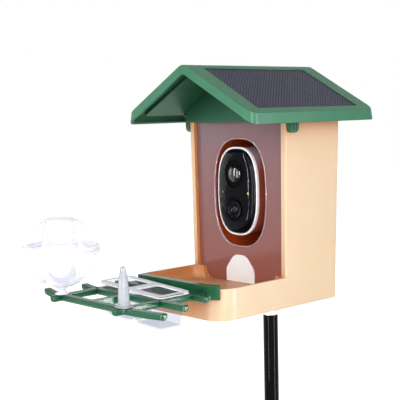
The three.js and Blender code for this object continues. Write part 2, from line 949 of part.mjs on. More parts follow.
function cameraFace() {
  const rings = [faceRing(cameraSetback + faceThickness, 1), faceRing(cameraSetback, 1)];
  for (let step = 1; step < faceSteps; step += 1) {
    const angle = Math.PI / 2 * step / faceSteps;
    rings.push(faceRing(cameraSetback - faceBulge * Math.sin(angle), Math.sqrt(Math.cos(angle))));
  }
  const dome = loft(rings.map((ring) => ring.slice().reverse()).reverse());
  const front = cameraSetback - faceBulge - overrun;
  const rear = cameraSetback + faceThickness + overrun;
  return cut(
    dome,
    roundRod('y', lensBarrelRadius + seatGap, front, rear, 0, lensHeight),
    roundRod('y', sensorDomeRadius + seatGap, front, rear, 0, sensorHeight),
    roundRod('y', lightRadius + pinGap, front, rear, lightOffset, cameraHeight - lightDrop, smallSides),
    roundRod('y', micRadius, front, rear, -lightOffset, cameraHeight - lightDrop, smallSides),
  );
}

place('camera_face', cameraFace(), black, 0.08);

const boardFront = boardSetback;
const boardRear = boardSetback + boardThickness;
const faceFront = cameraSetback - faceBulge;

place('lens_barrel', cut(
  roundRod('y', lensBarrelRadius, faceFront - lensProud, boardFront - seatGap, 0, lensHeight),
  roundRod('y', lensRadius + seatGap, faceFront - overrun, faceFront + lensDome, 0, lensHeight),
), 0x15161a, 0.35);

function domeY(radius, height, base, depth, centreHeight) {
  const profile = [[0, -depth], [radius, -depth], [radius, 0]];
  for (let step = 1; step < cornerSteps; step += 1) {
    const angle = Math.PI / 2 * step / cornerSteps;
    profile.push([radius * Math.cos(angle), height * Math.sin(angle)]);
  }
  profile.push([0, height]);
  const geometry = geometryOf(turnedZ(profile, 0, 0));
  geometry.rotateX(Math.PI / 2);
  geometry.translate(0, base, centreHeight);
  return solid(geometry);
}

const glassBase = faceFront + lensDome / 4;
place('lens_glass', domeY(lensRadius, lensDome, glassBase, lensDome / 2, lensHeight), 0x0b1020, 0.02);

const sensorBase = faceFront + sensorDomeHeight / 2;
const sensorDome = domeY(sensorDomeRadius, sensorDomeHeight, sensorBase, faceBulge, sensorHeight);
place('motion_dome', sensorDome, 0x0c0c10, 0.25);

place('motion_sensor', roundRod(
  'y', sensorCanRadius, sensorBase + faceBulge + seatGap, boardFront - seatGap, 0, sensorHeight,
), steel, 0.4, 0.8);

const lightHeight = cameraHeight - lightDrop;
place('status_light', roundRod(
  'y', lightRadius, faceFront + faceBulge / 4, boardFront - seatGap, lightOffset, lightHeight, smallSides,
), 0xf4e9b0, 0.3);

place('camera_board', prismY(
  rectangle(-boardHalfWidth, boardHalfWidth, cameraHeight - boardHalfHeight, cameraHeight + boardHalfHeight,
    boardCornerRadius),
  boardFront,
  boardRear,
), 0x1f5c34, 0.5);

const speakerHeight = cameraHeight + boardHalfHeight - speakerRadius * 1.5;

function batteryCradle() {
  const low = cameraHeight - cellLength / 2 - seatGap;
  const high = low + cellLength + seatGap * 2;
  const half = cellSpacing / 2 + cellRadius;
  const front = boardRear + seatGap;
  return cut(
    box(-half, half, front, cellSetback - cellRadius + cradleRise, low - cradleEnd, high + cradleEnd),
    ...[-1, 1].map((side) => (
      roundRod('z', cellRadius + seatGap, low, high, side * cellSpacing / 2, cellSetback)
    )),
    roundRod('y', speakerRadius + seatGap, front - overrun, front + speakerDepth + seatGap, 0, speakerHeight),
  );
}

place('battery_cradle', batteryCradle(), 0x2c2c30, 0.6);

[-1, 1].forEach((side) => {
  const low = cameraHeight - cellLength / 2;
  const name = side < 0 ? 'battery_cell_left' : 'battery_cell_right';
  const cell = roundRod('z', cellRadius, low, low + cellLength, side * cellSpacing / 2, cellSetback);
  place(name, cell, 0x2c63a8, 0.4);
});

place('speaker', roundRod(
  'y', speakerRadius, boardRear + seatGap, boardRear + seatGap + speakerDepth, 0, speakerHeight,
), 0x2a2a2e, 0.5);

const buttonFlangeTop = cameraTop - shellWall - seatGap * 2;
const buttonFoot = buttonFlangeTop - buttonFlange;
place('power_button', join(
  roundRod('z', buttonRadius, buttonFoot, cameraTop + buttonProud, 0, buttonSetback),
  roundRod('z', buttonRadius + buttonFlange, buttonFoot, buttonFlangeTop, 0, buttonSetback),
), 0x3a3a3e, 0.5);

place('port_plug', join(
  box(-portPlugWidth / 2, portPlugWidth / 2, portPlugSetback - portPlugLength, portPlugSetback,
    cameraBottom - seatGap - portPlugThickness, cameraBottom - seatGap),
  roundRod('x', portHinge, -portPlugWidth / 2, portPlugWidth / 2, portPlugSetback,
    cameraBottom - seatGap - portHinge, smallSides),
), 0x1d1d20, 0.7);

const insertProfile = [
  [thumbShankRadius + seatGap, 0],
  [insertRadius, 0],
  [insertRadius, insertDepth],
  [thumbShankRadius + seatGap, insertDepth],
  [thumbShankRadius + seatGap, 0],
];
const insertGeometry = geometryOf(turnedZ(insertProfile, 0, 0));
insertGeometry.rotateX(Math.PI / 2);
insertGeometry.translate(0, cameraRear - shellWall / 2 - seatGap * 2, cameraHeight);
place('camera_insert', solid(insertGeometry), 0xb99a55, 0.4, 0.9);

place('camera_screw', join(
  roundRod('y', thumbShankRadius, cameraRear - insertDepth, wallRear + seatGap * 2, 0, cameraHeight),
  roundRod('y', thumbKnobRadius, wallRear + seatGap, wallRear + seatGap + thumbKnobDepth, 0, cameraHeight,
    thumbFlats),
), 0x1b1b1e, 0.55);

// Roof

// The space under both slopes, drop below the outer faces, with its ridge rounded
function underSlopes(drop, radius) {
  const halfWidth = roofHalfWidth + fasciaFlare + overrun;
  const ridge = roofRidge - drop;
  const points = [new THREE.Vector2(-halfWidth, 0), new THREE.Vector2(halfWidth, 0)];
  points.push(new THREE.Vector2(halfWidth, ridge - halfWidth * slopeShare));
  for (let step = 0; step <= cornerSteps * 2; step += 1) {
    const angle = slopeAngle * (1 - step / cornerSteps);
    const height = ridge - radius / Math.cos(slopeAngle) + radius * Math.cos(angle);
    points.push(new THREE.Vector2(radius * Math.sin(angle), height));
  }
  points.push(new THREE.Vector2(-halfWidth, ridge - halfWidth * slopeShare));
  const front = -roofFront - roofFrontLean - overrun;
  return prismY(new THREE.Shape(points), front, roofRear + roofRearLean + overrun);
}

function roofPlan(inset) {
  const side = roofHalfWidth - inset;
  const front = roofFront - inset;
  const rear = roofRear - inset;
  const radius = roofCornerRadius - inset;
  return roundedOutline([
    [-side, -front, radius],
    [0, -front - roofFrontLean, 0],
    [side, -front, radius],
    [side, rear, radius],
    [0, rear + roofRearLean, 0],
    [-side, rear, radius],
  ]);
}

function roofBlank(inset, bottom) {
  const upper = prismZ(roofPlan(inset), roofCrease, roofRidge + overrun);
  const lower = geometryOf(prismZ(roofPlan(inset), bottom, roofCrease));
  const position = lower.attributes.position;
  for (let i = 0; i < position.count; i += 1) {
    const flare = fasciaFlare * (roofCrease - position.getZ(i)) / fasciaHeight;
    position.setX(i, position.getX(i) + Math.sign(position.getX(i)) * flare);
    position.setY(i, position.getY(i) + Math.sign(position.getY(i)) * flare);
  }
  return join(upper, solid(lower));
}

// Turns a shape drawn on the flat (x down the slope, z outward) onto the roof's right slope
const ontoSlope = new THREE.Matrix4().makeTranslation(0, 0, roofRidge)
  .multiply(new THREE.Matrix4().makeRotationY(slopeAngle));

function slopePlate(border, top, bottom, radius) {
  const outline = rectangle(
    cellTop - border,
    cellBottom + border,
    -cellFront - border,
    cellRear + border,
    radius,
  );
  return moved(prismZ(outline, bottom, top), ontoSlope);
}

const recessDepth = cellRecess + cellThickness + seatGap;
const skirtOuter = wallHalfWidth + skirtGap + skirtThickness;
const skirtInner = wallHalfWidth + skirtGap;
const frontSkirtInner = -skirtGap;
const rearSkirtInner = wallRear + skirtGap;

function leadHole(radius, top, bottom) {
  const hole = roundRod('z', radius, bottom, top, leadHoleAlong, leadHoleSetback, smallSides);
  return moved(hole, ontoSlope);
}

function roofShell() {
  const outer = roofBlank(0, eaveHeight).intersect(underSlopes(0, ridgeRadius));
  const hollow = roofBlank(roofLip, eaveHeight - overrun).intersect(
    underSlopes(roofSkin / Math.cos(slopeAngle), innerRidgeRadius),
  );
  let shape = cut(outer, hollow, underSlopes(roofBandDepth, innerRidgeRadius));

  const pocket = slopePlate(pocketBorder, -roofSkin / 2, -pocketDepth, pocketBorder);
  const keep = underSlopes(roofSkin / 2, innerRidgeRadius);
  const skirtBlock = box(-skirtOuter, skirtOuter, frontSkirtInner - skirtThickness,
    rearSkirtInner + skirtThickness, skirtBottom, roofRidge);
  const skirtHollow = box(-skirtInner, skirtInner, frontSkirtInner, rearSkirtInner,
    skirtBottom - overrun, roofRidge + overrun);
  shape = join(shape, pocket, mirroredX(pocket), cut(skirtBlock, skirtHollow).intersect(keep));

  for (const side of [-1, 1]) {
    const low = side * hingeOffset - roofKnuckleWidth / 2;
    const high = side * hingeOffset + roofKnuckleWidth / 2;
    const arm = rectangle(hingeSetback - knuckleRadius, hingeSetback + knuckleRadius,
      hingeHeight, skirtBottom + knuckleRadius * 2);
    shape = join(
      shape,
      prismX(arm, low, high),
      roundRod('x', knuckleRadius, low, high, hingeSetback, hingeHeight, smallSides * 2),
      box(low, high, rearSkirtInner, hingeSetback + knuckleRadius,
        skirtBottom + knuckleRadius, skirtBottom + knuckleRadius * 2),
    );
  }

  const earReach = latchOuter + seatGap;
  const earLow = latchPinHeight - latchPlate;
  for (const front of [latchFront - seatGap - latchEar, latchFront + latchWidth + seatGap]) {
    const ear = box(skirtOuter - skirtThickness / 2, earReach, front, front + latchEar, earLow, roofRidge);
    const kept = ear.intersect(keep);
    shape = join(shape, kept, mirroredX(kept));
  }

  const recess = slopePlate(seatGap, overrun, -recessDepth, 0);
  const lead = leadHole(leadHoleRadius, 0, -pocketDepth - overrun);
  const pinHole = wallHalfWidth + overrun;
  const latchPinX = latchOuter - latchPlate / 2;
  const latchPinRear = latchFront + latchWidth + seatGap + latchEar / 2;
  const latchPin = roundRod('y', latchPinRadius + pinGap, latchFront - latchEar - seatGap, latchPinRear,
    latchPinX, latchPinHeight, smallSides);
  return cut(
    shape,
    recess,
    mirroredX(recess),
    lead,
    mirroredX(lead),
    latchPin,
    mirroredX(latchPin),
    roundRod('x', hingePinRadius + pinGap, -pinHole, pinHole, hingeSetback, hingeHeight, smallSides),
  );
}

place('roof_shell', roofShell(), green, 0.5);

const solarPanel = slopePlate(0, -cellRecess, -cellRecess - cellThickness, seatGap * 4);
place('solar_panel_right', solarPanel, 0x2b2833, 0.25);
place('solar_panel_left', mirroredX(solarPanel), 0x2b2833, 0.25);

const grommet = join(
  leadHole(leadHoleRadius - seatGap, -recessDepth - seatGap, -pocketDepth - grommetFlange),
  leadHole(leadHoleRadius + grommetFlange, -pocketDepth - seatGap, -pocketDepth - grommetFlange - seatGap),
);
place('lead_grommet_right', grommet, 0x202022, 0.8);
place('lead_grommet_left', mirroredX(grommet), 0x202022, 0.8);

[-1, 1].forEach((side) => {
  const half = roofKnuckleWidth / 2 + seatGap + bodyKnuckleWidth + hingePinOverhang;
  const low = side * hingeOffset - half;
  const name = side < 0 ? 'hinge_pin_left' : 'hinge_pin_right';
  const pin = roundRod('x', hingePinRadius, low, low + half * 2, hingeSetback, hingeHeight, smallSides);
  place(name, pin, steel, 0.3, 0.9);
});

// Side latches: a tab on a cross pin under each eave

function latchShape() {
  const plateInner = latchOuter - latchPlate;
  const rear = latchFront + latchWidth;
  const inner = wallHalfWidth + seatGap;
  const tab = roundedOutline([
    [latchFront, latchBottom, latchTipRadius],
    [rear, latchBottom, latchTipRadius],
    [rear, skirtBottom - seatGap, 0],
    [latchFront, skirtBottom - seatGap, 0],
  ]);
  const middle = latchFront + latchWidth / 2;
  let shape = join(
    prismX(tab, inner, latchOuter),
    box(plateInner, latchOuter, latchFront, rear, skirtBottom - latchTipRadius, latchTop),
  );
  for (const offset of [-latchGripOffset, latchGripOffset]) {
    shape = cut(shape, box(latchOuter - latchGripDepth, latchOuter + overrun,
      middle + offset - latchGripWidth / 2, middle + offset + latchGripWidth / 2,
      latchBottom + latchGripOffset, skirtBottom - seatGap));
  }
  return cut(shape, roundRod('y', latchPinRadius + pinGap, latchFront - overrun, rear + overrun,
    latchOuter - latchPlate / 2, latchPinHeight, smallSides));
}

const latch = latchShape();
place('latch_right', latch, darkGreen, 0.5);
place('latch_left', mirroredX(latch), darkGreen, 0.5);

const latchPin = roundRod('y', latchPinRadius, latchFront - latchEar - seatGap / 2,
  latchFront + latchWidth + latchEar / 2, latchOuter - latchPlate / 2, latchPinHeight, smallSides);
place('latch_pin_right', latchPin, steel, 0.3, 0.9);
place('latch_pin_left', mirroredX(latchPin), steel, 0.3, 0.9);

// Perch rail: hooks over the tray's front rim and round both corners

function railOutline(offset) {
  return housePlan(-offset, trayCornerRadius + offset, rearCornerRadius);
}

function perchRail() {
  const centreX = wallHalfWidth - trayCornerRadius;
  const centreY = trayCornerRadius - trayFront;
  const reach = trayFront;
  const edge = (turnShare) => {
    const turn = Math.PI / 2 * turnShare;
    return [centreX + reach * Math.sin(turn), centreY - reach * Math.cos(turn)];
  };
  const [leftX, leftY] = edge(railLeftTurnShare);
  const [rightX, rightY] = edge(railRightTurnShare);
  const keep = prismZ(roundedOutline([
    [-centreX, centreY, 0],
    [-leftX, leftY, 0],
    [-leftX, -trayFront * 2, 0],
    [rightX, -trayFront * 2, 0],
    [rightX, rightY, 0],
    [centreX, centreY, 0],
  ]), railBottom - overrun, railTop + overrun);
  const slotInner = trayWall + seatGap;
  const lipInner = slotInner + railLip;
  const middle = prismZ(railOutline(-lipInner), railBottom - overrun, railTop + overrun);
  const slot = cut(
    prismZ(railOutline(seatGap), railBottom - overrun, trayRim + seatGap),
    prismZ(railOutline(-slotInner), trayRim - railLipDrop, trayRim + overrun),
  );
  const rail = cut(prismZ(railOutline(railThickness), railBottom, railTop), middle, slot);
  return drafted(rail.intersect(keep));
}

place('perch_rail', perchRail(), darkGreen, 0.5);

// Perch lattice: twig-like bars, flat on top and round below

// Stations along a bar, with the share of its section there: the ends round off
function barStations(from, to, bends) {
  const rounded = barEndShares.map(([inset, share]) => [barRound * inset, share]);
  const stations = rounded.map(([inset, share]) => [from + inset, share]);
  stations.push(...bends.map((bend) => [bend, 1]));
  return [...stations, ...rounded.map(([inset, share]) => [to - inset, share]).reverse()];
}

function barRing(share, toPoint) {
  const half = barWidth / 2;
  const low = barTop - barHeight;
  const middle = barTop - barHeight / 2;
  const outline = roundedOutline([
    [-half, low, barRound],
    [half, low, barRound],
    [half, barTop - barTopRound, 0],
    [half - barTopRound, barTop, 0],
    [barTopRound - half, barTop, 0],
    [-half, barTop - barTopRound, 0],
  ], barCornerSteps);
  return outline.getPoints().slice(0, (barCornerSteps + 1) * 2 + 4)
    .map((p) => toPoint(p.x * share, middle + (p.y - middle) * share));
}

// A bar along x. Each end may lift, and the right one may return towards the house.
function crossBar(setback, left, right, leftLift, rightLift, rightReturn) {
  const bends = [];
  for (let step = 0; step < barBendSteps; step += 1) {
    bends.unshift(-sideBarOffset - (left - sideBarOffset) * step / barBendSteps);
    bends.push(sideBarOffset + (right - sideBarOffset) * step / barBendSteps);
  }
  return loft(barStations(-left, right, bends).map(([x, share]) => {
    const past = Math.max(0, Math.abs(x) - sideBarOffset);
    const pastShare = x < 0 ? past / (left - sideBarOffset) : past / (right - sideBarOffset);
    const lift = (x < 0 ? leftLift : rightLift) * pastShare ** 2;
    const back = (x < 0 ? 0 : rightReturn) * pastShare ** 2;
    return barRing(share, (across, height) => [x, across - setback + back, height + lift]);
  }));
}

function sideBar(x, rear) {
  const front = frontBarSetback + sideBarStub;
  const rings = barStations(-front, -rear, []).map(([y, share]) => (
    barRing(-y > rear + barRound ? share : 1, (across, height) => [x - across, y, height])
  ));
  return loft(rings);
}

function perchLattice() {
  const railFace = trayFront + railThickness + seatGap;
  const bars = [
    crossBar(frontBarSetback, sideBarOffset + frontBarLeftReach, sideBarOffset + frontBarRightReach,
      frontBarLeftLift, frontBarRightLift, frontBarRightReturn),
    crossBar(middleBarSetback, sideBarOffset + middleBarLeftReach, sideBarOffset + middleBarRightReach,
      middleBarLeftLift, 0, 0),
    crossBar(rearBarSetback, sideBarOffset + rearBarReach, sideBarOffset + rearBarReach, 0, 0, 0),
    sideBar(-sideBarOffset, railFace),
    sideBar(sideBarOffset, railFace),
    box(-barWidth / 2, barWidth / 2, -frontBarSetback, -middleBarSetback, barTop - barHeight, barTop),
  ];
  const holes = [];
  for (const x of [-sideBarOffset, sideBarOffset]) {
    for (const y of [frontBarSetback, middleBarSetback, rearBarSetback]) {
      holes.push(roundRod('z', pegHoleRadius, barTop - pegHoleDepth, barTop + overrun, x, -y, smallSides));
    }
  }
  return cut(join(...bars), ...holes);
}

place('perch_lattice', perchLattice(), darkGreen, 0.5);

// Twin cup: a flange with two cups, its left end raised on a heel

function cupBlock(inset, bottomInset, bottom, top) {
  const front = middleBarSetback - barWidth / 2 - cupSideGap;
  const rear = rearBarSetback + barWidth / 2 + cupSideGap;
  const low = [cupDivider / 2 + inset, cupOuterReach - inset, -front + inset, -rear - inset];
  const ring = (z, taper) => {
    const [x0, x1, y0, y1] = [low[0] + taper / 2, low[1] - taper, low[2] + taper, low[3] - taper];
    const outline = rectangle(x0, x1, y0, y1, cupCornerRadius - inset);
    return outline.getPoints().slice(0, (cornerSteps + 1) * 4).map((p) => [p.x, p.y, z]);
  };
  return loft([ring(bottom, cupTaper + bottomInset), ring(top, 0)]);
}

function twinCup() {
  const bottom = cupFlangeThickness - cupDepth;
  const front = middleBarSetback + cupFlangeSeat - barWidth / 2;
  const rear = rearBarSetback - cupFlangeSeat + barWidth / 2;
  const flange = prismZ(
    rectangle(-cupFlangeHalfLength, cupFlangeHalfLength, -front, -rear, cupFlangeCorner),
    0,
    cupFlangeThickness,
  );
  const outer = cupBlock(0, 0, bottom, cupFlangeThickness / 2);
  const inner = cupBlock(cupWall, 0, bottom + cupWall, cupFlangeThickness + seatGap);
  const heel = box(-cupFlangeHalfLength, cupHeelThickness - cupFlangeHalfLength,
    cupFlangeCorner - front, -cupFlangeCorner - rear, -cupHeel, cupFlangeThickness / 2);
  return cut(join(flange, outer, mirroredX(outer), heel), inner, mirroredX(inner));
}

const cupGroup = new THREE.Group();
const cupTilt = THREE.MathUtils.degToRad(cupTiltDegrees);
cupGroup.rotation.y = cupTilt;
cupGroup.position.set(
  cupFlangeHalfLength * (1 - Math.cos(cupTilt)),
  0,
  barTop + seatGap + cupFlangeHalfLength * Math.sin(cupTilt),
);
house.add(cupGroup);
place('twin_cup', twinCup(), clear, 0.05, 0, cupGroup);

// Fruit spike on the front right crossing

const collarBottom = barTop + seatGap;
const spikeProfile = [
  [0, collarBottom - pegLength],
  [pegRadius, collarBottom - pegLength],
  [pegRadius, collarBottom],
  [spikeCollarRadius, collarBottom],
  [spikeCollarRadius, collarBottom + spikeCollarHeight / 4],
  [spikeBaseRadius, collarBottom + spikeCollarHeight],
  [spikeTipRadius, collarBottom + spikeHeight - spikeTipRadius],
  [spikeTipRadius * spikeTipShares[0], collarBottom + spikeHeight - spikeTipRadius * spikeTipShares[1]],
  [0, collarBottom + spikeHeight],
];
place('fruit_spike', turnedZ(spikeProfile, sideBarOffset, -frontBarSetback, smallSides), clear, 0.05);

// Ball holder on the front left crossing: two openwork halves that meet at a flange

function ballArc(radius, from, to) {
  const points = [];
  for (let step = 0; step <= ballRings; step += 1) {
    const height = from + (to - from) * step / ballRings;
    points.push([Math.sqrt(Math.max(0, radius * radius - height * height)), height]);
  }
  return points;
}

function ballWindows(towards, straight) {
  const half = ballWindowWidth / 2;
  const base = ballSplit + towards * ballWindowStart;
  const spring = base + towards * straight;
  const points = [new THREE.Vector2(-half, base), new THREE.Vector2(half, base)];
  for (let step = 0; step <= cornerSteps * 2; step += 1) {
    const angle = Math.PI / 2 * step / cornerSteps;
    const height = spring + towards * ballWindowRise * Math.sin(angle);
    points.push(new THREE.Vector2(half * Math.cos(angle), height));
  }
  if (towards < 0) {
    points.reverse();
  }
  const tools = [];
  for (let i = 0; i < ballWindowCount; i += 1) {
    const turn = THREE.MathUtils.degToRad(ballWindowTurnDegrees + 360 * i / ballWindowCount);
    const geometry = geometryOf(prismX(new THREE.Shape(points), ballRadius / 5, ballRadius + overrun));
    geometry.rotateZ(turn);
    tools.push(solid(geometry));
  }
  return tools;
}

function lowerBall() {
  const inside = ballRadius - ballWall;
  const stemFoot = collarBottom - ballCentreHeight;
  const profile = [
    [0, stemFoot - pegLength],
    [pegRadius, stemFoot - pegLength],
    [pegRadius, stemFoot],
    [ballStemFlare, stemFoot],
    [ballStemRadius, stemFoot + ballStemRadius / 2],
    [ballStemFlare, -ballFlatBottom],
    ...ballArc(ballRadius, -ballFlatBottom, ballFlangeFoot),
    [ballFlangeRadius, ballFlangeFoot],
    [ballFlangeRadius, ballSplit - seatGap / 2],
    ...ballArc(inside, ballSplit - seatGap / 2, ballWall - ballFlatBottom),
    [0, ballWall - ballFlatBottom],
  ];
  return cut(turnedZ(profile, 0, 0, ballSides), ...ballWindows(-1, lowerWindowStraight));
}

function upperBall() {
  const inside = ballRadius - ballWall;
  const profile = [
    [0, ballFlatTop - ballWall],
    ...ballArc(inside, ballFlatTop - ballWall, ballSplit + seatGap / 2),
    [ballFlangeRadius, ballSplit + seatGap / 2],
    [ballFlangeRadius, ballFlangeTop],
    ...ballArc(ballRadius, ballFlangeTop, ballFlatTop),
    [0, ballFlatTop],
  ];
  return cut(turnedZ(profile, 0, 0, ballSides), ...ballWindows(1, upperWindowStraight));
}

const ballGroup = new THREE.Group();
ballGroup.position.set(-sideBarOffset, -frontBarSetback, ballCentreHeight);
house.add(ballGroup);
place('ball_lower', lowerBall(), clear, 0.05, 0, ballGroup);
place('ball_upper', upperBall(), clear, 0.05, 0, ballGroup);

export default root;
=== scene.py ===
"""Smart bird feeder: the finished looks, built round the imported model.

The house is a moulding with a seed tray, a smoked front panel and a camera in an oval tunnel. A green roof
with two solar sheets covers it, a perch lattice with clear feeding cups hangs on the tray's rim, and a pole
carries the whole. Shapes are drawn in millimetres in the house's own frame: x runs across from the middle
plane, y runs back from the front ends of the side walls, and z rises from the house's underside.
"""

import json
import logging
import math
from dataclasses import dataclass, field
from enum import Enum

import bmesh
import bpy
from mathutils import Matrix, Vector


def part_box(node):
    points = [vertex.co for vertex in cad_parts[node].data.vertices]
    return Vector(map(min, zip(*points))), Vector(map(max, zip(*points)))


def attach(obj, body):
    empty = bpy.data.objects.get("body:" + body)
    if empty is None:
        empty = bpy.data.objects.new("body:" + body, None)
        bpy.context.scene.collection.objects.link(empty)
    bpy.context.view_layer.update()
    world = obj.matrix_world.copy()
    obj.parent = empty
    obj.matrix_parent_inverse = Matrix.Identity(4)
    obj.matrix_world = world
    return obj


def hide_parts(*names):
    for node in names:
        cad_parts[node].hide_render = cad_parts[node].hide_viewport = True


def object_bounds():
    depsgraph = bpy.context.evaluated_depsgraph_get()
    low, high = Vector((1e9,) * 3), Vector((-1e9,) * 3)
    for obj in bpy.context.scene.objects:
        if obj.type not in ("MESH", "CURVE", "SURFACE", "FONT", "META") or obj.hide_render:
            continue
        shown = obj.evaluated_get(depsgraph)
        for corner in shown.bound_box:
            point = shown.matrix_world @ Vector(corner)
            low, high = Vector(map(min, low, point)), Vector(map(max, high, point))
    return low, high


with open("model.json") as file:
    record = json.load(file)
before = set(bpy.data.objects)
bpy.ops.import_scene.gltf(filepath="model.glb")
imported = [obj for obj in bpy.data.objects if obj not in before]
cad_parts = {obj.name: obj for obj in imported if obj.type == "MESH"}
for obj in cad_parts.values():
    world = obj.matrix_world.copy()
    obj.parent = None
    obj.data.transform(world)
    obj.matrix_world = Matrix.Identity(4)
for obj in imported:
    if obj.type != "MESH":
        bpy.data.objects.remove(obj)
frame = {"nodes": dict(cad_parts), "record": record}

LOG = logging.getLogger("bird_feeder")
CAD_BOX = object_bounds()

Socket = bpy.types.NodeSocket
Shape = bmesh.types.BMesh
Outline = list[tuple[float, float]]
Rows = tuple[tuple[float, float], ...]

MM = 0.001
PANEL_SETBACK = 4.6
HOUSE_ZERO = Vector((0.0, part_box("front_panel")[0].y - PANEL_SETBACK * MM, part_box("house_shell")[0].z))
TO_FRAME = Matrix.Translation(HOUSE_ZERO) @ Matrix.Scale(MM, 4)
MERGE_DISTANCE = 0.002
OVERRUN = 1.0
FLAT_ANGLE = math.radians(0.6)
SHARP_ANGLE = math.radians(38)
SMOOTH_ANGLE = math.radians(42)
TURN_STEPS = 128
# A Mix node has several sets of sockets under the same names, so those for colours are picked by number.
MIX_SHARE, MIX_FIRST, MIX_SECOND, MIX_RESULT = 0, 6, 7, 2


class Axis(Enum):
    """The axis that a body is turned round: up, or from front to back."""

    Y = Matrix(((1, 0, 0, 0), (0, 0, 1, 0), (0, -1, 0, 0), (0, 0, 0, 1)))
    Z = Matrix.Identity(4)


def srgb(hex_colour: str) -> tuple[float, float, float, float]:
    """Turns an sRGB hex colour into the linear colour that a shader reads.

    Args:
        hex_colour: Six hex digits after a hash sign.

    Returns:
        Red, green, blue and alpha.
    """
    values = [int(hex_colour[i:i + 2], 16) / 255 for i in (1, 3, 5)]
    linear = [v / 12.92 if v <= 0.04045 else ((v + 0.055) / 1.055) ** 2.4 for v in values]
    return (linear[0], linear[1], linear[2], 1.0)


def per_metre(millimetres: float) -> float:
    """Returns the texture scale of a pattern that repeats every so many millimetres."""
    return 1 / (millimetres * MM)


class Nodes:
    """The node tree of a material or of the world, while it is put together."""

    def __init__(self, owner: bpy.types.Material | bpy.types.World) -> None:
        """Starts an empty tree.

        Args:
            owner: The material or the world that it belongs to.
        """
        owner.use_nodes = True
        self.tree = owner.node_tree
        self.tree.nodes.clear()

    def add(self, kind: str, inputs: dict | None = None, **settings: object) -> bpy.types.Node:
        """Adds one node with its settings, values and links.

        Args:
            kind: The node's type name, without ShaderNode before it.
            inputs: For each input's name or number, a value, or the output socket that feeds it.
            settings: The node's attributes.

        Returns:
            The new node.
        """
        node = self.tree.nodes.new("ShaderNode" + kind)
        for name, value in settings.items():
            setattr(node, name, value)
        for name, value in (inputs or {}).items():
            if isinstance(value, Socket):
                self.tree.links.new(value, node.inputs[name])
            else:
                node.inputs[name].default_value = value
        return node


class Patterns(Nodes):
    """A finish's nodes, whose patterns follow the piece's own coordinates."""

    def __init__(self, material: bpy.types.Material) -> None:
        """Starts the tree with the coordinates.

        Args:
            material: The finish's material.
        """
        super().__init__(material)
        self.place = self.add("TexCoord").outputs["Object"]

    def grain(self, size: float, depth: float, strength: float) -> Socket:
        """Adds the fine uneven grain of a moulded, cast or coated surface.

        Args:
            size: Grain width in millimetres.
            depth: Grain depth in millimetres.
            strength: How much of the depth shows, up to 1.

        Returns:
            The normal.
        """
        noise = self.add("TexNoise", {"Vector": self.place, "Scale": per_metre(size), "Detail": 3.0,
                                      "Roughness": 0.55})
        bump = self.add("Bump", {"Strength": strength, "Distance": depth * MM, "Height": noise.outputs["Fac"]})
        return bump.outputs["Normal"]

    def uneven(self, size: float, low: float, high: float, detail: float = 5.0) -> Socket:
        """Adds a number that drifts over the surface, such as a roughness.

        Args:
            size: Width of a patch in millimetres.
            low: Lowest number.
            high: Highest number.
            detail: How many times finer drift is laid over the patches.

        Returns:
            The number.
        """
        noise = self.add("TexNoise", {"Vector": self.place, "Scale": per_metre(size), "Detail": detail,
                                      "Roughness": 0.6})
        ramp = self.add("MapRange", {"Value": noise.outputs["Fac"], "From Min": 0.3, "From Max": 0.7,
                                     "To Min": low, "To Max": high})
        return ramp.outputs["Result"]

    def mottled(self, colours: tuple[str, str], size: float) -> Socket:
        """Adds a colour that drifts a little between two shades.

        Args:
            colours: The two shades.
            size: Width of a patch in millimetres.

        Returns:
            The colour.
        """
        share = self.uneven(size, 0.0, 1.0, detail=4.0)
        mix = self.add("Mix", {MIX_SHARE: share, MIX_FIRST: srgb(colours[0]), MIX_SECOND: srgb(colours[1])},
                       data_type="RGBA")
        return mix.outputs[MIX_RESULT]

    def painted_shade_in_nooks(self, colour: Socket, painted_nook_shade: str, reach: float) -> Socket:
        """Paints shade between walls, where it stands in for light that bounced off the same pigment.

        Args:
            colour: The colour of an open face.
            painted_nook_shade: The colour of the painted shade deep between walls.
            reach: How far off a wall still counts, in millimetres.

        Returns:
            The colour.
        """
        open_share = self.add("AmbientOcclusion", {"Distance": reach * MM}, samples=8)
        level = self.add("MapRange", {"Value": open_share.outputs["AO"], "From Min": 0.4, "From Max": 0.95})
        mix = self.add("Mix", {MIX_SHARE: level.outputs["Result"], MIX_FIRST: srgb(painted_nook_shade), MIX_SECOND: colour},
                       data_type="RGBA")
        return mix.outputs[MIX_RESULT]


@dataclass(frozen=True)
class Finish:
    """What every finish has: a name for the real material and its own colour pair."""

    name: str
    colour: str
    shade: str

    def surface(self, nodes: Patterns) -> dict[str, object]:
        """Returns the shader's inputs, which each finish works out in its own way.

        Args:
            nodes: The material's nodes.
        """
        raise NotImplementedError

    def material(self) -> bpy.types.Material:
        """Returns the finish's material, made the first time that it is asked for."""
        found = bpy.data.materials.get(self.name)
        if found:
            return found
        material = bpy.data.materials.new(self.name)
        nodes = Patterns(material)
        shader = nodes.add("BsdfPrincipled", self.surface(nodes))
        nodes.add("OutputMaterial", {"Surface": shader.outputs["BSDF"]})
        return material


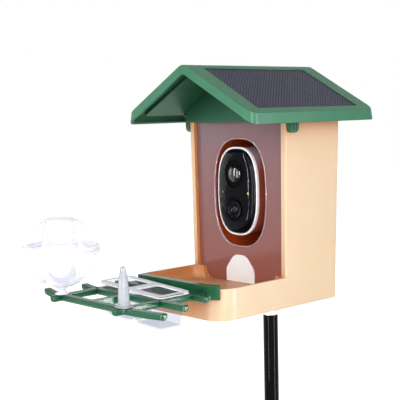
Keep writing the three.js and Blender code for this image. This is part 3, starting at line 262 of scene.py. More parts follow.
@dataclass(frozen=True)
class SolidFinish(Finish):
    """A finish that hides what is behind it. Pigment and sheen drift in patches, over a fine relief.

    The relief is a mould's grain, a tool's marks or a coat's ripple. Its width and depth are in millimetres,
    and a patch is so many of its widths wide. The roughness drifts by an amount, and by a share of itself.
    """

    roughness: float = 0.42
    sheen_drift: float = 0.0
    sheen_share: float = 0.0
    specular: float = 0.4
    metallic: float = 0.0
    relief_width: float = 0.7
    relief_depth: float = 0.05
    relief_strength: float = 0.35
    sheen_patch: float = 10.0
    pigment_patch: float = 40.0
    glow: float = 0.0
    glow_depth: float = 2.0
    # Painted glow: emission in the surface's own colour, for light that comes through its wall.
    painted_glow: float = 0.0
    # The colour painted as shade between walls, and how far off a wall that painted shade reaches.
    painted_nook_shade: str = ""
    painted_shade_reach: float = 150.0

    def surface(self, nodes: Patterns) -> dict[str, object]:
        """Returns the shader's inputs."""
        colour = nodes.mottled((self.colour, self.shade), self.relief_width * self.pigment_patch)
        # Painted shade: the colour deepens into the painted shade where walls are near.
        if self.painted_nook_shade:
            colour = nodes.painted_shade_in_nooks(colour, self.painted_nook_shade, self.painted_shade_reach)
        drift = self.sheen_drift + self.sheen_share * self.roughness
        low, high = self.roughness - drift, self.roughness + drift
        inputs = {
            "Base Color": colour,
            "Metallic": self.metallic,
            "Roughness": nodes.uneven(self.relief_width * self.sheen_patch, low, high),
            "Specular IOR Level": self.specular,
            "Subsurface Weight": self.glow,
            "Subsurface Scale": self.glow_depth * MM,
            "Normal": nodes.grain(self.relief_width, self.relief_depth, self.relief_strength),
        }
        # The painted glow lights the surface in its own colour, though it is no lamp.
        if self.painted_glow:
            inputs |= {"Emission Color": colour, "Emission Strength": self.painted_glow}
        return inputs


@dataclass(frozen=True)
class MouldedPlastic(SolidFinish):
    """ABS or polypropylene from a lightly sparked mould.

    The grain breaks the sheen into a soft glow along edges. The real one is about 0.1 mm wide, too fine to
    show, so it is drawn 0.7 mm wide.
    """

    sheen_drift: float = 0.05


@dataclass(frozen=True)
class ThinMilkyPlastic(SolidFinish):
    """Thin polystyrene with a milky cast.

    A painted glow in its own colour stands in for light that comes through from the far side of its wall, so
    that even its shades stay pale. Painted shade greys it between walls.
    """

    roughness: float = 0.15
    sheen_drift: float = 0.03
    specular: float = 0.3
    relief_strength: float = 0.0
    sheen_patch: float = 20.0
    pigment_patch: float = 20.0
    # A painted glow lifts its shades, and painted shade greys it between walls.
    painted_glow: float = 0.2
    painted_nook_shade: str = "#D4D4E6"
    painted_shade_reach: float = 60.0


@dataclass(frozen=True)
class BareMetal(SolidFinish):
    """Plated or turned metal. Fine marks pull its highlights out, and tarnish dulls patches.

    The real marks are finer than a picture shows, so they are drawn 0.4 mm wide.
    """

    sheen_share: float = 0.3
    specular: float = 0.5
    metallic: float = 1.0
    relief_width: float = 0.4
    relief_depth: float = 0.02
    relief_strength: float = 0.3
    sheen_patch: float = 15.0
    pigment_patch: float = 15.0


@dataclass(frozen=True)
class GlossCoat(SolidFinish):
    """Paint, lacquer or a polished face: a deep colour under a clear mirror with slight ripple."""

    roughness: float = 0.1
    sheen_share: float = 0.2
    relief_width: float = 5.0
    relief_depth: float = 0.01
    relief_strength: float = 0.4
    sheen_patch: float = 1.0
    pigment_patch: float = 3.0


@dataclass(frozen=True)
class ClearPlastic(Finish):
    """Injection moulded polystyrene or acrylic, clear or frosted.

    It takes its shade where the eye looks along a wall, and shows a faint flow haze.
    """

    transmission: float = 1.0
    roughness: float = 0.03
    flow_haze: float = 0.01
    flow_patch: float = 14.0
    edge: float = 0.5
    edge_power: float = 2.0
    ior: float = 1.49
    # Painted glow: emission in the plastic's own colour, for light that it passes on.
    painted_glow: float = 0.0

    def surface(self, nodes: Patterns) -> dict[str, object]:
        """Returns the plastic's shader inputs."""
        facing = nodes.add("LayerWeight", {"Blend": self.edge})
        rim = nodes.add("Math", {0: facing.outputs["Facing"], 1: self.edge_power}, operation="POWER")
        colour = nodes.add("Mix", {MIX_SHARE: rim.outputs[0], MIX_FIRST: srgb(self.colour),
                                   MIX_SECOND: srgb(self.shade)}, data_type="RGBA")
        return {
            "Base Color": colour.outputs[MIX_RESULT],
            "Roughness": nodes.uneven(self.flow_patch, self.roughness, self.roughness + self.flow_haze),
            "IOR": self.ior,
            "Transmission Weight": self.transmission,
            # The painted glow lights the plastic in its own colour, though it is no lamp.
            "Emission Color": colour.outputs[MIX_RESULT],
            "Emission Strength": self.painted_glow,
        }


@dataclass(frozen=True)
class SmokedSheet(Finish):
    """Moulded acrylic or ABS with a smoky pigment.

    The colour at the high mark turns in faint clouds into the shade at the low mark, and what lies behind
    shows as a warm tint.
    """

    low: float = 0.0
    high: float = 1.0
    transmission: float = 0.3
    ior: float = 1.49
    specular: float = 0.3
    roughness: float = 0.13
    roughest: float = 0.21
    sheen_patch: float = 20.0
    cloud: float = 0.12
    cloud_patch: float = 45.0
    wave_width: float = 9.0
    wave_depth: float = 0.02
    wave_strength: float = 0.1

    def surface(self, nodes: Patterns) -> dict[str, object]:
        """Returns the sheet's shader inputs."""
        parts = nodes.add("SeparateXYZ", {0: nodes.place})
        foot, head = (HOUSE_ZERO.z + height * MM for height in (self.low, self.high))
        rise = nodes.add("MapRange", {"Value": parts.outputs["Z"], "From Min": foot, "From Max": head})
        cloud = nodes.uneven(self.cloud_patch, -self.cloud, self.cloud)
        level = nodes.add("Math", {0: rise.outputs["Result"], 1: cloud}, operation="ADD", use_clamp=True)
        colour = nodes.add("Mix", {MIX_SHARE: level.outputs[0], MIX_FIRST: srgb(self.shade),
                                   MIX_SECOND: srgb(self.colour)}, data_type="RGBA")
        return {
            "Base Color": colour.outputs[MIX_RESULT],
            "Roughness": nodes.uneven(self.sheen_patch, self.roughness, self.roughest),
            "IOR": self.ior,
            "Specular IOR Level": self.specular,
            "Transmission Weight": self.transmission,
            "Normal": nodes.grain(self.wave_width, self.wave_depth, self.wave_strength),
        }


@dataclass(frozen=True)
class SolarSheet(Finish):
    """Black silicon under an embossed cover film.

    The film's weave catches light as rows of fine dots, painted into the colour as paler dots over the real
    emboss. The real dots are about 1 mm apart, too fine to show, so they are drawn 2.8 mm apart.
    """

    dot_pitch: float = 2.8
    slope: float = 0.0
    row_angle: float = math.pi / 4
    emboss_depth: float = 0.1
    emboss_strength: float = 0.5
    roughness: float = 0.4
    roughest: float = 0.5
    sheen_patch: float = 9.0
    specular: float = 0.08

    def surface(self, nodes: Patterns) -> dict[str, object]:
        """Returns the sheet's shader inputs."""
        rows = nodes.add("Mapping", {"Vector": nodes.place, "Scale": (1 / math.cos(self.slope), 1.0, 1.0),
                                     "Rotation": (0.0, 0.0, self.row_angle)}, vector_type="POINT")
        dots = nodes.add("TexVoronoi", {"Vector": rows.outputs["Vector"], "Scale": per_metre(self.dot_pitch),
                                        "Randomness": 0.0}, feature="F1", voronoi_dimensions="2D")
        # Painted highlight: the dots' paler colour stands in for light caught by the emboss.
        weave = nodes.add("MapRange", {"Value": dots.outputs["Distance"], "From Min": 0.2, "From Max": 0.55})
        colour = nodes.add("Mix", {MIX_SHARE: weave.outputs["Result"], MIX_FIRST: srgb(self.shade),
                                   MIX_SECOND: srgb(self.colour)}, data_type="RGBA")
        bump = nodes.add("Bump", {"Strength": self.emboss_strength, "Distance": self.emboss_depth * MM,
                                  "Height": dots.outputs["Distance"]}, invert=True)
        return {
            "Base Color": colour.outputs[MIX_RESULT],
            "Roughness": nodes.uneven(self.sheen_patch, self.roughness, self.roughest),
            "Specular IOR Level": self.specular,
            "Normal": bump.outputs["Normal"],
        }


SHEET_LOW, SHEET_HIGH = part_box("solar_panel_right")
SLOPE = math.atan2(SHEET_HIGH.z - SHEET_LOW.z, SHEET_HIGH.x - SHEET_LOW.x)
SLOT_FINISHES: dict[str, Finish] = {
    # Sparked ABS has a soft, even sheen. Between walls painted shade tints it deep orange, for its own bounced
    # light.
    "house_plastic": MouldedPlastic(
        "peach_abs", "#F4D7B3", "#F2D3AD", roughness=0.36, specular=0.15, glow=0.05, painted_nook_shade="#D2884E"),
    # The roof's ABS has the same grain in green, and painted shade makes it dark under the eaves.
    "roof_plastic": MouldedPlastic(
        "roof_green_abs", "#438464", "#3E7C5C", roughness=0.36, specular=0.1, painted_nook_shade="#153C28"),
    # The perch's ABS is smoother, which gives its thin bars sharp lights along their edges.
    # Painted shade darkens it between the bars.
    "perch_plastic": MouldedPlastic(
        "perch_green_abs", "#266844", "#22613E", roughness=0.2, specular=0.15, relief_strength=0.2,
        painted_nook_shade="#0F3A24", painted_shade_reach=25.0),
    # Smoked acrylic is grey-mauve at the roof and rose-brown at the foot, under one wide, soft reflection.
    "smoked_panel": SmokedSheet("smoked_acrylic", "#9C7C82", "#B06A5C", low=19.0, high=188.0),
    # Moulded polypropylene is a waxy white.
    "gate_plastic": MouldedPlastic("white_polypropylene", "#FFFFFF", "#FBF9FA", roughness=0.35, glow=0.1),
    # The ramp's polypropylene is left as moulded: dull orange.
    "ramp_plastic": MouldedPlastic("orange_polypropylene", "#B8733A", "#B06C35", roughness=0.5),
    # The tunnel's ABS is a dull-sheened deep orange: painted shade for the dim, bounced light inside it.
    "bay_plastic": MouldedPlastic("tunnel_abs_painted_shade", "#C8501E", "#BA4718", roughness=0.25),
    # Nearly polished ABS draws a clean white line round the camera's face.
    "camera_white": MouldedPlastic("white_abs", "#FDFCFD", "#F8F7F9", roughness=0.28, relief_strength=0.15),
    # Polished black acrylic is a dark mirror, and its slow waves bend the lamps into streaks.
    "camera_black": GlossCoat(
        "black_acrylic_face", "#0B0C12", "#090A0F", roughness=0.04, specular=0.06, relief_width=15.0,
        relief_depth=1.2),
    # Coated glass is blue-black with a small sharp highlight.
    "lens_glass": GlossCoat(
        "coated_lens_glass", "#10131F", "#0C0F18", roughness=0.02, specular=0.1, relief_width=8.0),
    # A moulded polythene dome is nearly black, with a bright highlight where it bulges.
    "sensor_dome": GlossCoat("polythene_dome", "#15161D", "#101117", roughness=0.08, specular=0.5),
    # A clear light pipe over an amber diode is a pale warm dot.
    "indicator": MouldedPlastic("amber_light_pipe", "#F2D9A0", "#EFCF8C", roughness=0.2, glow=0.3),
    # Solder resist is glossy green, and rises and falls over the tracks.
    "circuit_board": GlossCoat(
        "solder_resist", "#14583A", "#0F4A30", roughness=0.3, specular=0.5, relief_width=1.4),
    # Shrunk film is taut, blue and glossy.
    "battery_wrap": GlossCoat(
        "shrink_wrap", "#2E5FA8", "#28559A", roughness=0.25, specular=0.5, relief_width=3.0),
    # Sparked black ABS is dark grey under its soft sheen.
    "black_plastic": MouldedPlastic("black_abs", "#1B1B1E", "#17171A", roughness=0.4),
    # Moulded rubber is matt and has nearly no highlight.
    "black_rubber": MouldedPlastic("black_rubber", "#1E1E1F", "#191919", roughness=0.72, specular=0.25),
    # Silicon under embossed film is blue-black, with a painted grey sparkle of light on its dots.
    "solar_cell": SolarSheet("solar_sheet", "#08090F", "#4C4D66", slope=SLOPE),
    # Milky polystyrene hides what is behind it. A painted glow keeps it pale in its own shade, and painted
    # shade greys it between walls.
    "clear_plastic": ThinMilkyPlastic("milky_ball_styrene", "#FFFFFF", "#FAFAFE"),
    # Zinc plate is a cloudy silver.
    "steel": BareMetal("zinc_plated_steel", "#C9CBCE", "#B9BCC0", roughness=0.32),
    # Chrome plate is a bright mirror.
    "chrome": BareMetal("chrome_plate", "#E2E3E6", "#D8DADD", roughness=0.08),
    # Turned brass is warm yellow with drawn-out highlights.
    "brass": BareMetal("turned_brass", "#C9A24E", "#BC9442", roughness=0.25),
    # Glossy powder coat is black between thin, sharp lines of light, with the faint ripple of baked powder.
    "pole_paint": GlossCoat(
        "black_powder_coat", "#020203", "#010102", roughness=0.05, specular=0.06, relief_width=1.1,
        relief_depth=0.003),
}
# The casing is white ABS. Painted reflection and painted shade fade it from grey at the top
# to the tunnel's red lower down.
SLEEVE_PAINTED_REFLECTION_AND_SHADE = SmokedSheet(
    "sleeve_painted_reflection_and_shade", "#A09AA0", "#A04C3A", low=135.0, high=155.0, roughness=0.17, roughest=0.25,
    transmission=0.0)
# A polished acrylic edge round the window. Its pale line of light is partly its sheen and partly a painted
# highlight in its paler colour.
WINDOW_LIP = ClearPlastic("polished_lip", "#C9A9AC", "#A98A90", transmission=0.4, roughness=0.06, edge=0.3)
# The wells in the camera's polished face are left satin, and painted shade of the recess deepens their
# black, so they show as black rounds.
WELL_BLACK = GlossCoat(
    "satin_black_acrylic_painted_shade", "#020203", "#010102", roughness=0.3, specular=0.02, relief_width=6.0)
# Amber resin over a light sensor is a duller dot.
AMBER_SENSOR = MouldedPlastic("amber_light_sensor", "#9A6A3C", "#8C5C30", roughness=0.25)
# Milky polystyrene as thick as the cups' flange is a soft white, and greyer where the eye looks along it.
FLANGE_STYRENE = ClearPlastic("milky_styrene", "#FBFCFD", "#E4E7EE", transmission=0.12, ior=1.2, edge=0.4)
# Frosted polystyrene blurs what is behind it into a grey-white.
SPIKE_STYRENE = ClearPlastic(
    "frosted_styrene", "#D0D3D8", "#A6AAB3", transmission=0.35, roughness=0.12, ior=1.2)
# Thin clear polystyrene doesn't bend what is behind it, and greys it where the eye looks along a wall.
# A faint painted glow lifts it.
CUP_STYRENE = ClearPlastic(
    "clear_cup_styrene", "#E8E9EE", "#868C9C", ior=1.0, roughness=0.0, edge=0.4, painted_glow=0.03)

NODE_SLOTS: dict[str, str] = {part["node"]: part["material_slot"] for part in frame["record"]["subparts"]}
NODE_BODIES: dict[str, str] = {
    node: body for body, nodes in frame["record"]["behaviour"]["bodies"].items() for node in nodes
}


class NodeBox:
    """A CAD node's box, in millimetres in the house's frame."""

    def __init__(self, node: str) -> None:
        """Reads the box.

        Args:
            node: The CAD node.
        """
        self.low, self.high = ((corner - HOUSE_ZERO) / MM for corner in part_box(node))
        self.middle = (self.low + self.high) / 2
        self.half = (self.high - self.low) / 2


def face_outward(bm: Shape) -> None:
    """Turns every face of a closed body outward, after its points have moved."""
    bm.normal_update()
    bmesh.ops.recalc_face_normals(bm, faces=bm.faces)


def cad_copy(name: str) -> Shape:
    """Copies a CAD node's shape, with its triangles merged into whole faces.

    Args:
        name: The CAD node.

    Returns:
        The shape in millimetres in the house's frame.
    """
    bm = bmesh.new()
    bm.from_mesh(frame["nodes"][name].data)
    bm.transform(TO_FRAME.inverted())
    bmesh.ops.remove_doubles(bm, verts=bm.verts, dist=MERGE_DISTANCE)
    bmesh.ops.dissolve_limit(bm, angle_limit=FLAT_ANGLE, verts=bm.verts, edges=bm.edges)
    face_outward(bm)
    return bm


def chains(edges: list[bmesh.types.BMEdge]) -> list[list[bmesh.types.BMEdge]]:
    """Sorts edges into groups that touch one another.

    Args:
        edges: The edges to sort.

    Returns:
        The groups.
    """
    waiting = set(edges)
    groups = []
    while waiting:
        group = [waiting.pop()]
        for edge in group:
            touching = {other for vert in edge.verts for other in vert.link_edges} & waiting
            waiting -= touching
            group.extend(touching)
        groups.append(group)
    return groups


def soften(bm: Shape, width: float, segments: int = 3) -> None:
    """Rounds a shape's sharp outer edges, one chain at a time, as a tight one would hold back the rest.

    Args:
        bm: The shape, in millimetres.
        width: How far the rounding reaches into the faces.
        segments: Number of steps in the rounding.
    """
    sharp = [edge for edge in bm.edges
             if edge.is_manifold and edge.is_convex and edge.calc_face_angle() > SHARP_ANGLE]
    for chain in chains(sharp):
        bmesh.ops.bevel(bm, geom=chain, offset=width, offset_type="OFFSET", segments=segments, profile=0.5,
                        affect="EDGES", clamp_overlap=True, material=-1)


def ring(outer: float, inner: float, start: float, end: float) -> Outline:
    """Returns the outline of a ring between two radii, from one place along the axis to another."""
    return [(outer, end), (outer, start), (inner, start), (inner, end), (outer, end)]


def plug(radius: float, start: float, end: float) -> Outline:
    """Returns the outline of a solid round plug, from one place along the axis to another."""
    return [(0.0, start), (radius, start), (radius, end), (0.0, end)]


def dome(radius: float, base: float, rise: float, steps: int, power: float = 1.0) -> Outline:
    """Returns a dome's outline from its rim to its middle.

    Args:
        radius: Its radius.
        base: Place of its rim along the axis.
        rise: How far its middle stands beyond the rim.
        steps: Number of steps in the curve.
        power: 1 for a half ellipse, and less for a fuller one.
    """
    turns = [math.pi / 2 * step / steps for step in range(steps)]
    curve = [(radius * math.cos(turn) ** power, base + rise * math.sin(turn)) for turn in turns]
    return curve + [(0.0, base + rise)]


def turned(profile: Outline, axis: Axis = Axis.Z, middle: Vector = Vector()) -> Shape:
    """Turns a profile into a closed body.

    Args:
        profile: Radii and places along the axis. It starts and ends on the axis, or closes on itself.
        axis: The axis of turning, which runs up, or back into the house.
        middle: The point that the places along the axis are measured from.

    Returns:
        The body.
    """
    bm = bmesh.new()
    corners = profile[:-1] if profile[0] == profile[-1] else profile
    verts = [bm.verts.new((radius, 0.0, along)) for radius, along in corners]
    following = verts[1:] + (verts[:1] if corners is not profile else [])
    edges = [bm.edges.new(pair) for pair in zip(verts, following)]
    bmesh.ops.spin(bm, geom=verts + edges, cent=(0, 0, 0), axis=(0, 0, 1), angle=math.tau, steps=TURN_STEPS,
                   use_merge=True)
    bmesh.ops.remove_doubles(bm, verts=bm.verts, dist=MERGE_DISTANCE)
    bm.transform(Matrix.Translation(middle) @ axis.value)
    face_outward(bm)
    return bm


def add_object(name: str, data: bpy.types.ID) -> bpy.types.Object:
    """Puts a mesh, a lamp or a camera into the scene, and returns its object."""
    made = bpy.data.objects.new(name, data)
    bpy.context.scene.collection.objects.link(made)
    return made


def add_shape(name: str, bm: Shape) -> bpy.types.Object:
    """Puts a shape into the scene, and returns its object. The shape is used up."""
    mesh = bpy.data.meshes.new(name)
    bm.to_mesh(mesh)
    bm.free()
    return add_object(name, mesh)


def cut_away(bm: Shape, tool: Shape) -> Shape:
    """Cuts one closed body out of another.

    Args:
        bm: The body. It is used up.
        tool: The body that is cut out of it. It is used up.

    Returns:
        What is left.
    """
    holders = [add_shape("blank", shape) for shape in (bm, tool)]
    cut = holders[0].modifiers.new("cut", "BOOLEAN")
    cut.operation = "DIFFERENCE"
    cut.solver = "EXACT"
    cut.object = holders[1]
    made = bmesh.new()
    made.from_object(holders[0], bpy.context.evaluated_depsgraph_get())
    for holder in holders:
        mesh = holder.data
        bpy.data.objects.remove(holder)
        bpy.data.meshes.remove(mesh)
    bmesh.ops.remove_doubles(made, verts=made.verts, dist=MERGE_DISTANCE)
    bmesh.ops.triangulate(made, faces=made.faces)
    return made


def add_piece(name: str, bm: Shape, node: str, stands_for: bool = True,
              finishes: tuple[Finish, ...] = ()) -> bpy.types.Object:
    """Turns a finished shape into a piece of the scene.

    Args:
        name: The piece's name.
        bm: The shape, in millimetres in the house's frame. It is used up.
        node: The CAD node whose body it rides on and whose material slot it has.
        stands_for: Whether it takes the CAD node's place.
        finishes: Its finishes by its faces' numbers, where they aren't the one of the CAD node's slot.

    Returns:
        The piece.
    """
    bm.transform(TO_FRAME)
    piece = add_shape(name, bm)
    mesh = piece.data
    for finish in finishes or (SLOT_FINISHES[NODE_SLOTS[node]],):
        mesh.materials.append(finish.material())
    mesh.shade_smooth()
    mesh.set_sharp_from_angle(angle=SMOOTH_ANGLE)
    shading = piece.modifiers.new("even_shading", "WEIGHTED_NORMAL")
    shading.keep_sharp = True
    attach(piece, NODE_BODIES[node])
    if stands_for:
        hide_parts(node)
    LOG.info("%s has %d faces", name, len(mesh.polygons))
    return piece


@dataclass(frozen=True)
class Oval:
    """An upright oval between an ellipse and a rounded box, as the window and the camera have."""

    half_width: float
    half_height: float
    height: float
    power: float = 2.7
    core: float = 10.0

    def body(self, profile: Outline) -> Shape:
        """Draws a profile round the oval.

        Args:
            profile: Distances from the middle line, where the half width is the oval itself, and places from
                the front to the back.

        Returns:
            The closed body.
        """
        bm = turned(profile)
        taller = self.half_height - self.half_width
        for vert in bm.verts:
            reach = max(math.hypot(vert.co.x, vert.co.y), MERGE_DISTANCE)
            across, up = (math.copysign(abs(part / reach) ** (2 / self.power), part) for part in vert.co.xy)
            stretch = taller * min(1.0, reach / self.core)
            vert.co = Vector((across * reach, vert.co.z, self.height + up * (reach + stretch)))
        face_outward(bm)
        return bm


@dataclass
class Mouldings:
    """Pieces whose CAD shape is right as it is and only lacks the small roundings of a mould."""

    roundings: dict[str, float] = field(default_factory=lambda: {
        "house_shell": 0.9,
        "roof_shell": 1.0,
        "seed_gate": 0.4,
        "latch_right": 0.7,
        "latch_left": 0.7,
        "perch_rail": 0.6,
        "perch_lattice": 1.2,
        "camera_screw": 0.5,
        "base_plate": 0.4,
        "port_plug": 0.4,
    })

    def build(self) -> None:
        """Adds every such piece."""
        for node, width in self.roundings.items():
            bm = cad_copy(node)
            soften(bm, width)
            add_piece(f"{node}_moulded", bm, node)


@dataclass
class FrontPanel:
    """Smoked sheet with the oval window, the window's polished lip and the seed doorway."""

    half_width: float = 38.4
    half_height: float = 57.6
    lip: float = 1.7
    lip_proud: float = 0.25
    lip_round: float = 0.7
    lip_segments: int = 4
    clearance: float = 0.12

    def window(self) -> Oval:
        """Returns the window's oval, which is level with the tunnel."""
        return Oval(self.half_width, self.half_height, NodeBox("camera_bay").middle.z)

    def build(self) -> None:
        """Adds the panel and its lip."""
        sheet = NodeBox("front_panel")
        front, rear = sheet.low.y, sheet.high.y
        reach = self.half_width + self.clearance
        opening = self.window().body(plug(reach, front - OVERRUN, rear + OVERRUN))
        add_piece("smoked_front_panel", cut_away(cad_copy("front_panel"), opening), "front_panel")
        lip = ring(self.half_width, self.half_width - self.lip, front - self.lip_proud, rear)
        bm = self.window().body(lip)
        soften(bm, self.lip_round, self.lip_segments)
        add_piece("window_lip", bm, "front_panel", stands_for=False, finishes=(WINDOW_LIP,))


@dataclass
class Tunnel:
    """Oval tunnel that the camera stands in."""

    gap: float = 0.5
    wall: float = 2.0
    back: float = 2.4
    corner: float = 6.0
    corner_shares: tuple[float, float] = (0.13, 0.5)

    def build(self, panel: FrontPanel) -> None:
        """Adds the tunnel.

        Args:
            panel: The panel whose window it carries on from.
        """
        bay = NodeBox("camera_bay")
        mouth, rear = bay.low.y, bay.high.y
        floor = rear - self.back
        inner = panel.half_width + self.gap
        near, far = (self.corner * share for share in self.corner_shares)
        bm = panel.window().body([
            (0.0, rear), (inner + self.wall, rear), (inner + self.wall, mouth), (inner, mouth),
            (inner, floor - self.corner), (inner - near, floor - far), (inner - far, floor - near),
            (inner - self.corner, floor), (0.0, floor),
        ])
        add_piece("camera_tunnel", bm, "camera_bay")


@dataclass
class Camera:
    """Camera module: bezel, sleeve, domed black face, lens, motion sensor, status light and light sensor.

    Wells, rings and crowns are rows of a radius, or a share of one, and a depth behind the piece's front.
    """

    bezel_width: float = 2.1
    bezel_round: float = 0.9
    bezel_segments: int = 4
    sleeve_inset: float = 0.7
    sleeve_wall: float = 3.0
    sleeve_round: float = 0.8
    bulge: float = 4.0
    face_gap: float = 0.3
    face_steps: int = 16
    face_power: float = 0.5
    recess: Rows = ((15.0, -OVERRUN), (14.2, 0.35), (13.4, 1.1))
    sensor_radius: float = 9.0
    sensor_height: float = 4.3
    sensor_seat: float = 1.5
    sensor_steps: int = 12
    halo: Rows = ((13.6, -OVERRUN), (13.2, 0.1), (10.0, 0.45))
    barrel_hole: float = 9.8
    barrel_radius: float = 9.5
    barrel_edge: float = 0.3
    barrel_rings: Rows = (
        (9.2, 0.0), (8.3, 0.0), (8.0, 0.25), (7.8, 0.7), (6.2, 0.9), (6.0, 0.7), (5.4, 0.7), (5.1, 1.2))
    glass_radius: float = 4.3
    glass_bulge: float = 1.3
    glass_setback: float = 1.7
    glass_back: float = 0.4
    glass_steps: int = 8
    seat_gap: float = 0.2
    seat_lead: float = 0.1
    seat_depth: float = 0.6
    dot_gap: float = 0.25
    dot_length: float = 3.0
    dot_setback: float = 1.0
    dot_crown: Rows = ((1.0, 0.4), (0.7, 0.05), (0.0, -0.1))

    def __post_init__(self) -> None:
        """Takes the module's outline from its bezel, and the places of its lens, sensor and lights."""
        bezel, light = NodeBox("camera_bezel"), NodeBox("status_light")
        self.half_width = bezel.half.x
        self.oval = Oval(bezel.half.x, bezel.half.z, bezel.middle.z)
        self.front, self.bezel_rear = bezel.low.y, bezel.high.y
        self.face_front = self.front - self.bulge
        self.lens, self.sensor = (
            Vector((0.0, 0.0, NodeBox(node).middle.z)) for node in ("lens_barrel", "motion_dome"))
        self.dot_radius = light.half.x
        self.dots = {side: Vector((side * light.middle.x, 0.0, light.middle.z)) for side in (1, -1)}

    def build(self) -> None:
        """Adds the camera's pieces."""
        self.add_bezel()
        self.add_sleeve()
        self.add_face()
        self.add_sensor()
        self.add_lens()
        self.add_dots()

    def add_bezel(self) -> None:
        """Adds the white ring round the face."""
        inner = self.half_width - self.bezel_width
        bm = self.oval.body(ring(self.half_width, inner, self.front, self.bezel_rear))
        soften(bm, self.bezel_round, self.bezel_segments)
        add_piece("camera_ring", bm, "camera_bezel")

    def add_sleeve(self) -> None:
        """Adds the casing behind the ring."""
        shell = NodeBox("camera_shell")
        front, rear = shell.low.y, shell.high.y
        outer = self.half_width - self.sleeve_inset
        inner, floor = outer - self.sleeve_wall, rear - self.sleeve_wall
        bm = self.oval.body([(0.0, rear), (outer, rear), (outer, front), (inner, front), (inner, floor),
                             (0.0, floor)])
        soften(bm, self.sleeve_round)
        add_piece("camera_sleeve", bm, "camera_shell", finishes=(SLEEVE_PAINTED_REFLECTION_AND_SHADE,))

    def add_face(self) -> None:
        """Adds the glossy face with its satin wells and its holes."""
        rear = NodeBox("camera_face").high.y
        reach = self.half_width - self.bezel_width - self.face_gap
        face = self.oval.body([(0.0, rear), (reach, rear),
                               *dome(reach, self.front, -self.bulge, self.face_steps, self.face_power)])
        start, end = self.face_front - OVERRUN, rear + OVERRUN
        recess, halo = ([(radius, self.face_front + depth) for radius, depth in well]
                        for well in (self.recess, self.halo))
        recess = turned([(0.0, start), *recess, (0.0, recess[-1][1])], Axis.Y, self.sensor)
        halo = turned([(0.0, start), *halo, (self.barrel_hole, end), (0.0, end)], Axis.Y, self.lens)
        hole = plug(self.dot_radius + self.dot_gap, start, end)
        holes = [turned(hole, Axis.Y, self.dots[side]) for side in (-1, 1)]
        for tool in (recess, halo, *holes):
            face = cut_away(face, tool)
        wells = ((self.sensor, self.recess[1][0]), (self.lens, self.halo[1][0]))
        for facet in face.faces:
            spot = facet.calc_center_median()
            facet.material_index = int(any((spot - well).xz.length < radius for well, radius in wells))
        finishes = (SLOT_FINISHES[NODE_SLOTS["camera_face"]], WELL_BLACK)
        add_piece("camera_black_face", face, "camera_face", finishes=finishes)

    def add_sensor(self) -> None:
        """Adds the motion sensor's dome."""
        base = self.face_front + self.recess[-1][1]
        seat = base + self.sensor_seat
        profile = [(0.0, seat), (self.sensor_radius, seat),
                   *dome(self.sensor_radius, base, -self.sensor_height, self.sensor_steps)]
        bm = turned(profile, Axis.Y, self.sensor)
        add_piece("sensor_dome", bm, "motion_dome")

    def add_lens(self) -> None:
        """Adds the lens: a stepped black barrel round a small coated glass."""
        barrel = NodeBox("lens_barrel")
        front, rear = barrel.low.y, barrel.high.y
        glass, seat = front + self.glass_setback, self.glass_radius + self.seat_gap
        bm = turned([
            (0.0, rear), (self.barrel_radius, rear), (self.barrel_radius, front + self.barrel_edge),
            *((radius, front + depth) for radius, depth in self.barrel_rings),
            (seat, glass + self.seat_lead), (seat, glass + self.seat_depth), (0.0, glass + self.seat_depth),
        ], Axis.Y, self.lens)
        add_piece("lens_stepped_barrel", bm, "lens_barrel")
        back = glass + self.glass_back
        bm = turned([(0.0, back), (self.glass_radius, back),
                     *dome(self.glass_radius, glass, -self.glass_bulge, self.glass_steps)], Axis.Y, self.lens)
        add_piece("lens_front_glass", bm, "lens_glass")

    def add_dots(self) -> None:
        """Adds the status light's lens and the amber light sensor that mirrors it."""
        surface = self.face_front + self.dot_setback
        back = surface + self.dot_length
        crown = [(self.dot_radius * share, surface + depth) for share, depth in self.dot_crown]
        kinds = ((1, "status_light_lens", ()), (-1, "light_sensor_lens", (AMBER_SENSOR,)))
        for side, name, finishes in kinds:
            bm = turned([(0.0, back), (self.dot_radius, back), *crown], Axis.Y, self.dots[side])
            add_piece(name, bm, "status_light", stands_for=side > 0, finishes=finishes)


@dataclass
class TwinCup:
    """Two clear cups under a milky flange that rests on the lattice."""

    rounding: float = 0.45
    flange_drop: float = 6.0
    level_share: float = 0.3

    def build(self) -> None:
        """Adds the cups. Their level faces near the top are milky, and the others are clear."""
        bm = cad_copy("twin_cup")
        soften(bm, self.rounding)
        bm.normal_update()
        foot = NodeBox("twin_cup").high.z - self.flange_drop
        for face in bm.faces:
            flange = face.calc_center_median().z > foot and abs(face.normal.z) > self.level_share
            face.material_index = 0 if flange else 1
        add_piece("twin_cup_moulded", bm, "twin_cup", finishes=(FLANGE_STYRENE, CUP_STYRENE))


@dataclass
class Peg:
    """The peg under the spike and under the ball, which fits a hole in the lattice."""

    radius: float = 1.9
    length: float = 4.4

    def outline(self, foot: float) -> Outline:
        """Returns the peg's outline from its foot up.

        Args:
            foot: Height of its foot.
        """
        return [(0.0, foot), (self.radius, foot), (self.radius, foot + self.length)]


